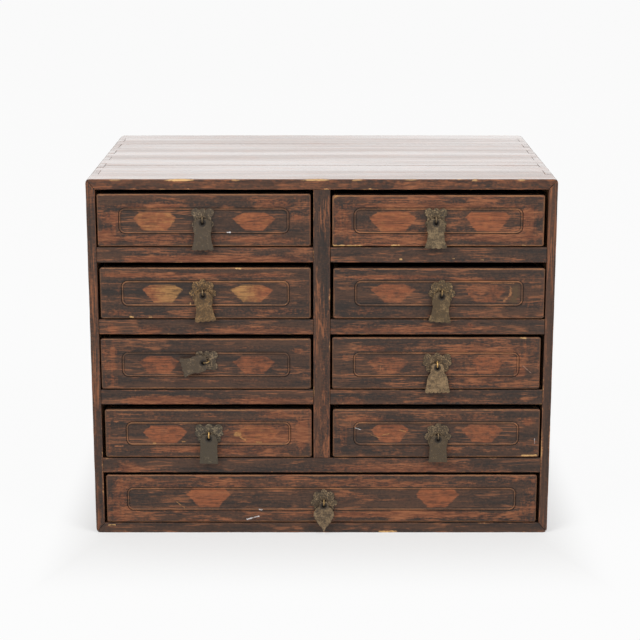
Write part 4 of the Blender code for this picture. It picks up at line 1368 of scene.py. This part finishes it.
class CHEST_OT_pulls(bpy.types.Operator):
    """Make the swinging brass pulls"""
    bl_idname = "chest.pulls"
    bl_label = "Pulls"

    def execute(self, context):
        brass = context.scene.chest_brass
        for seed, name in enumerate(DRAWERS, PULL_SEED):
            fitting = FITTINGS[name]
            finish = old_brass(f"{name}_pull_brass", seed, brass, fitting.rubbed, fitting.tint,
                               eye=eye_dirt_and_shade(name, brass))
            hand_in(f"{name}_pull_tab", hang(self.pull(fitting, seed, brass), name), finish, f"pull_{name}",
                    f"drawer_{name}_pull")
        return {"FINISHED"}

    def half_width(self, fitting, drop):
        side = [*PULL_SIDES[fitting.pull], (fitting.foot, fitting.length)]
        for (wide, near), (next_wide, far) in zip(side, side[1:]):
            if drop <= far:
                return wide + (next_wide - wide) * smooth((drop - near) / (far - near))
        return side[-1][0]

    def pull(self, fitting, seed, brass):
        """A hanging tab of sheet, with its eye, shoulders, flutes and scalloped foot."""
        crown = PULL_SIDES[fitting.pull][0][1]
        drops = [crown + (fitting.length - crown) * step / PULL_STEPS for step in range(PULL_STEPS + 1)]
        right = [(self.half_width(fitting, drop), -drop) for drop in drops]
        scallops = SCALLOPS.get(fitting.pull, 0)
        foot = []
        for step in range(1, SCALLOP_STEPS * scallops):
            along = step / SCALLOP_STEPS
            foot.append((fitting.foot * (1 - 2 * along / scallops),
                         -fitting.length - brass.scallop * abs(math.sin(math.pi * along))))
        left = [(-half, z) for half, z in reversed(right)]
        outline = even_points([*right, *foot, *left], PULL_POINTS)
        half_w, half_h = brass.eye_width / 2, brass.eye_height / 2
        middle = Vector((0, -brass.eye_drop - half_h))
        hole = [ellipse_towards(middle, half_w, half_h, point) for point in outline]

        def relief(x, z):
            fluted = brass.flute * fitting.flutes * smooth((-z - brass.flute_top) / brass.flute_fade)
            flutes = fluted * math.cos(x * 2 * math.pi / brass.flute_pitch)
            return flutes + brass.bend * rumple((x, 0, z), 160.0, seed)

        return sheet_metal(outline, hole, brass.sheet, relief)


# Places of the lamps, which all look at the chest
KEY_PLACE = (-1.8, -1.9, 2.7)
FILL_PLACE = (1.9, -1.8, 2.5)
SCREEN_PLACE = (0.0, 4.6, 1.2)
WHITE = (1.0, 1.0, 1.0, 1.0)


class CHEST_OT_stage(bpy.types.Operator):
    """Set the camera, the pale floor, the lamps and the white surroundings"""
    bl_idname = "chest.stage"
    bl_label = "Studio stage"

    def execute(self, context):
        scene, stage = context.scene, context.scene.chest_stage
        scene.view_settings.view_transform = "Standard"
        self.add_camera(scene, stage)
        self.add_floor(scene, stage)
        self.add_world(scene, stage)
        self.add_lamp(scene, "key_lamp", stage.key, (stage.lamp, stage.lamp), KEY_PLACE)
        self.add_lamp(scene, "fill_lamp", stage.fill, (stage.lamp, stage.lamp), FILL_PLACE)
        self.add_lamp(scene, "glow_screen", stage.glow, (stage.screen, stage.lamp), SCREEN_PLACE)
        return {"FINISHED"}

    def add_camera(self, scene, stage):
        data = bpy.data.cameras.new("camera")
        data.lens = stage.lens
        camera = bpy.data.objects.new("camera", data)
        camera.location = stage.camera
        camera.rotation_euler = (math.pi / 2 - stage.tilt, 0.0, 0.0)
        scene.collection.objects.link(camera)
        scene.camera = camera

    def add_floor(self, scene, stage):
        work = bmesh.new()
        bmesh.ops.create_grid(work, x_segments=8, y_segments=8, size=stage.floor_size)
        mesh = bpy.data.meshes.new("floor")
        work.to_mesh(mesh)
        work.free()
        floor = bpy.data.objects.new("floor", mesh)
        scene.collection.objects.link(floor)
        mesh.materials.append(self.floor_paint(stage))

    def seen(self, sheet):
        """1 for rays from the camera and from reflections, which see plain white."""
        rays = [sheet.add("ShaderNodeLightPath", {}, {}, ray)
                for ray in ("Is Camera Ray", "Is Glossy Ray", "Is Transmission Ray")]
        return rays[0].largest(rays[1]).largest(rays[2])

    def floor_paint(self, stage):
        """Matt pale paint that fades into plain white away from the chest."""
        sheet = Finish("floor_paint")
        tooth = sheet.noise((40.0, 40.0, 40.0), (0.0, 0.0, 0.0), 3.0)
        colour = sheet.blend(tooth * 0.06, stage.floor, (0.80, 0.80, 0.80))
        sheet.finish(tooth, 0.0002, {"Base Color": colour, "Roughness": 0.9})
        white = sheet.add("ShaderNodeEmission", {}, {"Color": (*stage.backdrop, 1.0), "Strength": 1.0})
        beside = (abs(sheet.axes[0]) - CAD_BOX[1].x).step(-0.02, 0.06)
        away = beside.largest((abs(sheet.axes[1]) - CAD_BOX[1].y).step(0.0, 0.20))
        lift = stage.floor_lift + away * (stage.far_lift - stage.floor_lift)
        mixed = sheet.add("ShaderNodeMixShader", {}, {0: self.seen(sheet) * lift,
                                                      1: Wire(sheet, sheet.shader.outputs[0]), 2: white})
        sheet.connect(sheet.tree.nodes["Material Output"], {"Surface": mixed})
        return sheet.material

    def add_world(self, scene, stage):
        world = bpy.data.worlds.new("studio")
        world.use_nodes = True
        scene.world = world
        sheet = Sheet(world.node_tree)
        plain = sheet.add("ShaderNodeBackground", {}, {"Color": WHITE, "Strength": stage.ambient})
        white = sheet.add("ShaderNodeBackground", {}, {"Color": WHITE, "Strength": 1.0})
        mixed = sheet.add("ShaderNodeMixShader", {}, {0: self.seen(sheet), 1: plain, 2: white})
        sheet.connect(sheet.tree.nodes["World Output"], {"Surface": mixed})

    def add_lamp(self, scene, name, watts, sides, place):
        data = bpy.data.lights.new(name, "AREA")
        data.energy = watts
        data.shape = "RECTANGLE"
        data.size, data.size_y = sides
        lamp = bpy.data.objects.new(name, data)
        lamp.visible_camera = False
        lamp.location = place
        middle = (CAD_BOX[0] + CAD_BOX[1]) / 2
        lamp.rotation_euler = (middle - lamp.location).to_track_quat("-Z", "Y").to_euler()
        scene.collection.objects.link(lamp)


OPERATORS = (CHEST_OT_stage, CHEST_OT_case_boards, CHEST_OT_drawer_fronts, CHEST_OT_drawer_boxes,
             CHEST_OT_plates, CHEST_OT_pins, CHEST_OT_pulls)
SETTINGS = {
    "chest_case": ChestCaseSettings,
    "chest_lacquer": ChestLacquerSettings,
    "chest_drawer": ChestDrawerSettings,
    "chest_brass": ChestBrassSettings,
    "chest_stage": ChestStageSettings,
}


class CHEST_PT_panel(bpy.types.Panel):
    """The chest's operators and settings in the sidebar"""
    bl_idname = "CHEST_PT_panel"
    bl_label = "Chest of Drawers"
    bl_space_type = "VIEW_3D"
    bl_region_type = "UI"
    bl_category = "Chest"

    def draw(self, context):
        for operator in OPERATORS:
            self.layout.operator(operator.bl_idname)
        for name, group in SETTINGS.items():
            box = self.layout.box()
            box.label(text=group.__doc__)
            settings = getattr(context.scene, name)
            for key in group.__annotations__:
                box.prop(settings, key)


CLASSES = (*SETTINGS.values(), *OPERATORS, CHEST_PT_panel)


def register():
    for kind in CLASSES:
        bpy.utils.register_class(kind)
    for name, group in SETTINGS.items():
        setattr(bpy.types.Scene, name, PointerProperty(type=group))


def unregister():
    for name in SETTINGS:
        delattr(bpy.types.Scene, name)
    for kind in reversed(CLASSES):
        bpy.utils.unregister_class(kind)


def main():
    register()
    bpy.ops.chest.stage()
    bpy.ops.chest.case_boards()
    bpy.ops.chest.drawer_fronts()
    bpy.ops.chest.drawer_boxes()
    bpy.ops.chest.plates()
    bpy.ops.chest.pins()
    bpy.ops.chest.pulls()


if __name__ == "__main__":
    main()
